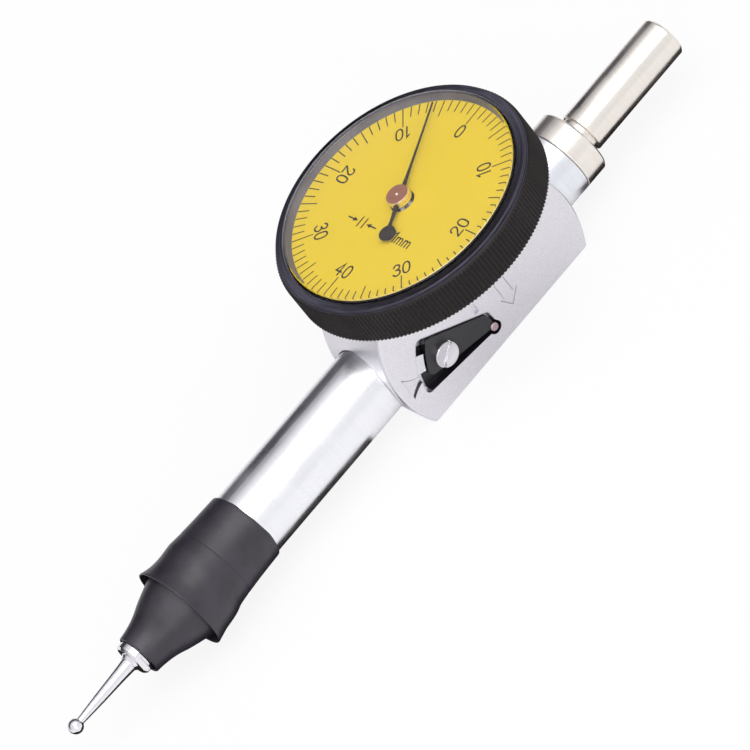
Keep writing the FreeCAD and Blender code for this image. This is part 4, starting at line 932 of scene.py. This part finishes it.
hand_black = lacquer_material("black hand lacquer", rgb(34, 20, 18), rgb(22, 13, 12), 0.45, 0.0, 0.1)
hand_low, hand_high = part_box("hand")[0].z * 1000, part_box("hand")[1].z * 1000
HAND_TURN = math.radians(28.0)
needle_tip = 14.8
half_outline = [
    (0.08, needle_tip), (0.1, 9.0), (0.13, 5.5), (0.19, 3.2), (0.3, 1.7), (0.6, 1.1), (0.8, 0.0), (0.6, -1.1),
    (0.3, -1.7), (0.18, -3.7), (0.26, -4.4)]
counterweight = [(1.14 * math.sin(math.radians(a)), -5.5 + 1.14 * math.cos(math.radians(a)))
                 for a in range(22, 180, 12)]
right_side = half_outline + counterweight
outline = right_side + [(-x, y) for x, y in reversed(right_side)]


def stamped_hand(outline, low, high, turn):
    """A flat stamping with its upper edge slightly rounded by the die."""
    builder = bmesh.new()
    levels = [(low, 0.0), (high - 0.04, 0.0), (high, 0.025)]
    count = len(outline)
    rows = []
    for height, inset in levels:
        row = []
        for index in range(count):
            before, here, after = (Vector(outline[(index + k) % count]) for k in (-1, 0, 1))
            along = (after - before).normalized()
            inward = Vector((-along.y, along.x)) * -inset
            point = Matrix.Rotation(turn, 2) @ (here + inward)
            row.append(builder.verts.new((point.x, point.y, height)))
        rows.append(row)
    for lower, upper in zip(rows, rows[1:]):
        close_wall(builder, lower, upper)
    builder.faces.new(rows[0])
    builder.faces.new(rows[-1])
    return builder


hand_mesh = stamped_hand(outline, hand_low, hand_high, HAND_TURN)
hand = new_piece("hand_stamped", hand_mesh, hand_black, smooth=False)
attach(hand, "pointer")
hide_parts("hand")

bronze, tree, surface, base = turned_metal("turned bronze hub", rgb(176, 116, 98), rgb(140, 88, 74), 0.3, "Z",
                                           lines=7.0, edge=0.05, anisotropic=0.0)
x, y, z = split(tree, object_point(tree))
# Below its top face the hub is coloured near white: a painted highlight on the polished side.
top = smooth_mask(tree, z, 23.56, 23.62)
base = mix(tree, top, rgb(250, 240, 230), base)
link(tree, surface, Base_Color=base)


def turned_shell(profile, around):
    """A closed profile of (radius, z) turned about the dial's middle. A radius of 0 is a pole."""
    builder = bmesh.new()
    poles = {index: builder.verts.new((0, 0, z)) for index, (r, z) in enumerate(profile) if r == 0}
    turns = [[poles[i] if i in poles else builder.verts.new((r * math.cos(a), r * math.sin(a), z))
              for i, (r, z) in enumerate(profile)] for a in (2 * math.pi * k / around for k in range(around))]
    closed = not poles
    for here, after in zip(turns, turns[1:] + turns[:1]):
        for k in range(len(profile) - (0 if closed else 1)):
            corners = (here[k], here[(k + 1) % len(profile)], after[(k + 1) % len(profile)], after[k])
            builder.faces.new([v for n, v in enumerate(corners) if v not in corners[:n]])
    return builder


hub_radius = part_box("hand_hub")[1].x * 1000
hub_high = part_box("hand_hub")[1].z * 1000 - 0.15
hub_low = hand_low - 0.34
hub = new_piece("hub_turned", turned_shell([
    (0, hub_high - 0.2), (0.1, hub_high - 0.19), (0.14, hub_high - 0.06), (0.22, hub_high - 0.03),
    (hub_radius - 0.14, hub_high), (hub_radius - 0.05, hub_high - 0.03), (hub_radius, hub_high - 0.12),
    (hub_radius, hub_high - 0.62), (hub_radius - 0.06, hub_high - 0.68), (hub_radius - 0.02, hub_high - 0.76),
    (hub_radius - 0.02, hub_low + 0.1), (hub_radius - 0.12, hub_low), (0, hub_low)], 72), bronze)
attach(hub, "pointer")
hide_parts("hand_hub")

# ---- direction lever -------------------------------------------------------------------------
# The lever on the side is stamped steel, oxidised black, with a bright slotted button riveted on.
# It turns on a pin in the body, and a sprung ball clicks it into its upper and lower positions.

lever_black = lacquer_material("black oxidised lever", rgb(34, 31, 38), rgb(22, 20, 26), 0.34, 0.2)
knob_chrome = turned_metal("bright slotted button", rgb(232, 230, 234), rgb(206, 204, 210), 0.16, "X",
                           (-9.8, 6.3), lines=9.0, depth=0.001, edge=0.12, anisotropic=0.0)[0]
pivot_steel = turned_metal("lever pin steel", rgb(206, 184, 186), rgb(170, 148, 152), 0.3, "X", (-2.7, 3.0),
                           lines=12.0, anisotropic=0.0)[0]
finish(lever_black, "direction_lever")
knob_low, knob_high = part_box("direction_knob")[0] * 1000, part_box("direction_knob")[1] * 1000
knob_middle = (knob_low + knob_high) / 2
KNOB_SLOT = math.radians(38.0)


def dished_button(radius, low, high, slot_width, slot_depth, around, rings):
    """A round button with a hollow face and a slot sawn across it, its axis along z."""
    builder = bmesh.new()
    profile = [(radius, low), (radius, high - 0.12), (radius - 0.1, high)]
    dish = [(radius - 0.1) * (1 - k / rings) for k in range(1, rings)]
    profile += [(r, high - 0.34 * (1 - (r / (radius - 0.1)) ** 2)) for r in dish]
    turns = [[builder.verts.new((r * math.cos(a), r * math.sin(a), z)) for r, z in profile]
             for a in (2 * math.pi * k / around for k in range(around))]
    top = builder.verts.new((0, 0, high - 0.34))
    for here, after in zip(turns, turns[1:] + turns[:1]):
        for k in range(len(profile) - 1):
            builder.faces.new((here[k], after[k], after[k + 1], here[k + 1]))
        builder.faces.new((here[-1], after[-1], top))
    builder.faces.new([turn[0] for turn in turns])
    mesh = bpy.data.meshes.new("button_blank")
    bmesh.ops.recalc_face_normals(builder, faces=builder.faces)
    builder.to_mesh(mesh)
    builder.free()
    blank = in_scene("button_blank", mesh)
    cutter_mesh = bpy.data.meshes.new("slot_saw")
    saw = bmesh.new()
    bmesh.ops.create_cube(saw, size=1.0)
    bmesh.ops.scale(saw, vec=(2 * radius + 1, slot_width, 1.0), verts=saw.verts)
    bmesh.ops.translate(saw, vec=(0, 0, high - slot_depth + 0.5), verts=saw.verts)
    saw.to_mesh(cutter_mesh)
    saw.free()
    cutter = in_scene("slot_saw", cutter_mesh)
    cut = blank.modifiers.new("Slot", "BOOLEAN")
    cut.object = cutter
    cut.operation = "DIFFERENCE"
    cut.solver = "EXACT"
    bpy.context.view_layer.update()
    result = bpy.data.meshes.new_from_object(blank.evaluated_get(bpy.context.evaluated_depsgraph_get()))
    blank.modifiers.remove(cut)
    bpy.data.objects.remove(blank)
    bpy.data.objects.remove(cutter)
    builder = bmesh.new()
    builder.from_mesh(result)
    return builder


button = dished_button(radius=1.75, low=0.0, high=0.7, slot_width=0.42, slot_depth=0.5, around=64, rings=10)
stand = Matrix(((0, 0, 1), (1, 0, 0), (0, 1, 0))).to_4x4()
bmesh.ops.transform(button, matrix=Matrix.Rotation(KNOB_SLOT, 4, "Z"), verts=button.verts)
bmesh.ops.transform(button, matrix=stand, verts=button.verts)
bmesh.ops.translate(button, vec=(knob_low.x, knob_middle.y, knob_middle.z), verts=button.verts)
knob = new_piece("direction_button", button, knob_chrome, smooth=False)
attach(knob, "lever")
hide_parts("direction_knob")
finish(pivot_steel, "direction_pivot")
finish(small_steel, "detent_ball")
finish(spring_steel, "detent_spring")

# ---- floor, light and camera -----------------------------------------------------------------
# The instrument lies on its back on a plain white table, under a wide soft lamp and a weaker one
# at the right. Two dark sheets that only metal sees are a painted shade under the tube and the stem,
# and give round metal its dark edges. The camera has a long lens.


def table_top():
    """A white table that the camera, and whatever is bright or clear, sees as white with a soft shadow."""
    material, tree = empty_material("white table")
    path = add(tree, "ShaderNodeLightPath").outputs
    seen = calc(tree, "MAXIMUM", path["Is Camera Ray"], path["Is Transmission Ray"])
    seen = calc(tree, "MAXIMUM", calc(tree, "MULTIPLY", seen, 0.88),
                calc(tree, "MULTIPLY", path["Is Glossy Ray"], 0.16))
    speck = add(tree, "ShaderNodeTexNoise", {"Vector": object_point(tree), "Scale": 0.05, "Detail": 2.0})
    colour = mix(tree, speck.outputs["Fac"], rgb(236, 236, 236), rgb(242, 242, 242))
    cloth = add(tree, "ShaderNodeBsdfDiffuse", {"Color": colour})
    white = add(tree, "ShaderNodeEmission", {"Color": (1.0, 1.0, 1.0, 1.0), "Strength": 1.0})
    both = add(tree, "ShaderNodeMixShader", {0: seen, 1: cloth.outputs[0], 2: white.outputs[0]})
    add(tree, "ShaderNodeOutputMaterial", {0: both.outputs[0]})
    return material


def soft_lamp(name, place, target, width, height, power):
    """A white rectangular lamp at a place, turned towards a target."""
    lamp = bpy.data.lights.new(name, "AREA")
    lamp.shape = "RECTANGLE"
    lamp.size, lamp.size_y = width, height
    lamp.energy = power
    holder = in_scene(name, lamp)
    holder.location = place
    holder.rotation_euler = (Vector(target) - Vector(place)).to_track_quat("-Z", "Y").to_euler()


table = bpy.data.meshes.new("table")
table.from_pydata([(-4, -4, 0), (4, -4, 0), (4, 4, 0), (-4, 4, 0)], [], [(0, 1, 2, 3)])
table.materials.append(table_top())
floor = in_scene("table", table)

soft_lamp("wide lamp", (0.42, 0.0, 1.0), (0, -0.02, 0), 0.9, 0.9, 5.6)
soft_lamp("lamp at the right", (0.9, -0.5, 0.5), (0, 0, 0.01), 0.6, 0.6, 1.6)


def dark_card(name, left, right, near, far):
    """A painted shade: a matt dark sheet on the table that only bright metal sees. It stands for the shade
    under the piece and gives round metal its dark edge.
    """
    mesh = bpy.data.meshes.new(name)
    lift = 0.0003
    mesh.from_pydata([(left, near, lift), (right, near, lift), (right, far, lift), (left, far, lift)],
                     [], [(0, 1, 2, 3)])
    material, tree = empty_material(name)
    speck = add(tree, "ShaderNodeTexNoise", {"Vector": object_point(tree), "Scale": 0.4, "Detail": 2.0})
    colour = mix(tree, speck.outputs["Fac"], rgb(38, 34, 34), rgb(50, 44, 44))
    shade_diffuse = add(tree, "ShaderNodeBsdfDiffuse", {"Color": colour})
    add(tree, "ShaderNodeOutputMaterial", {0: shade_diffuse.outputs[0]})
    mesh.materials.append(material)
    shade_sheet = in_scene(name, mesh)
    shade_sheet.visible_camera = False
    shade_sheet.visible_diffuse = False
    shade_sheet.visible_shadow = False
    shade_sheet.visible_transmission = False


# Painted shade under the tube and under the stem, seen only in the metal.
dark_card("painted_shade_under_tube", -0.016, 0.0062, -0.085, -0.0225)
dark_card("painted_shade_under_stem", -0.016, 0.0055, 0.0185, 0.045)

world = bpy.data.worlds.new("studio")
bpy.context.scene.world = world
world.use_nodes = True
tree = world.node_tree
tree.nodes.clear()
path = add(tree, "ShaderNodeLightPath").outputs
side, front, height = split(tree, add(tree, "ShaderNodeTexCoord").outputs["Generated"])
lit = calc(tree, "MULTIPLY_ADD", front, -0.2, calc(tree, "MULTIPLY", height, 0.64))
lit = calc(tree, "MULTIPLY_ADD", side, 0.74, lit)
room = mix(tree, smooth_mask(tree, lit, -0.3, 0.4), rgb(66, 64, 72), rgb(240, 240, 242))
seen = calc(tree, "MAXIMUM", path["Is Camera Ray"], path["Is Transmission Ray"])
colour = mix(tree, seen, room, (1.0, 1.0, 1.0, 1.0))
background = add(tree, "ShaderNodeBackground", {"Color": colour, "Strength": 1.0})
add(tree, "ShaderNodeOutputWorld", {0: background.outputs[0]})

camera = bpy.data.cameras.new("camera")
camera.lens = 466.03
camera.sensor_width = 36.0
camera.clip_end = 10.0
viewer = in_scene("camera", camera)
right = Vector((0.5989, 0.6348, -0.4882))
up = Vector((-0.3065, 0.7449, 0.5926))
back = Vector((0.7398, -0.2053, 0.6407))
turned = Matrix((right, up, back)).transposed()
aim, camera_distance = Vector((-0.00255, -0.01611, 0.00528)), 1.205
viewer.matrix_world = Matrix.Translation(aim + back * camera_distance) @ turned.to_4x4()
bpy.context.scene.camera = viewer
bpy.context.scene.view_settings.view_transform = "Standard"
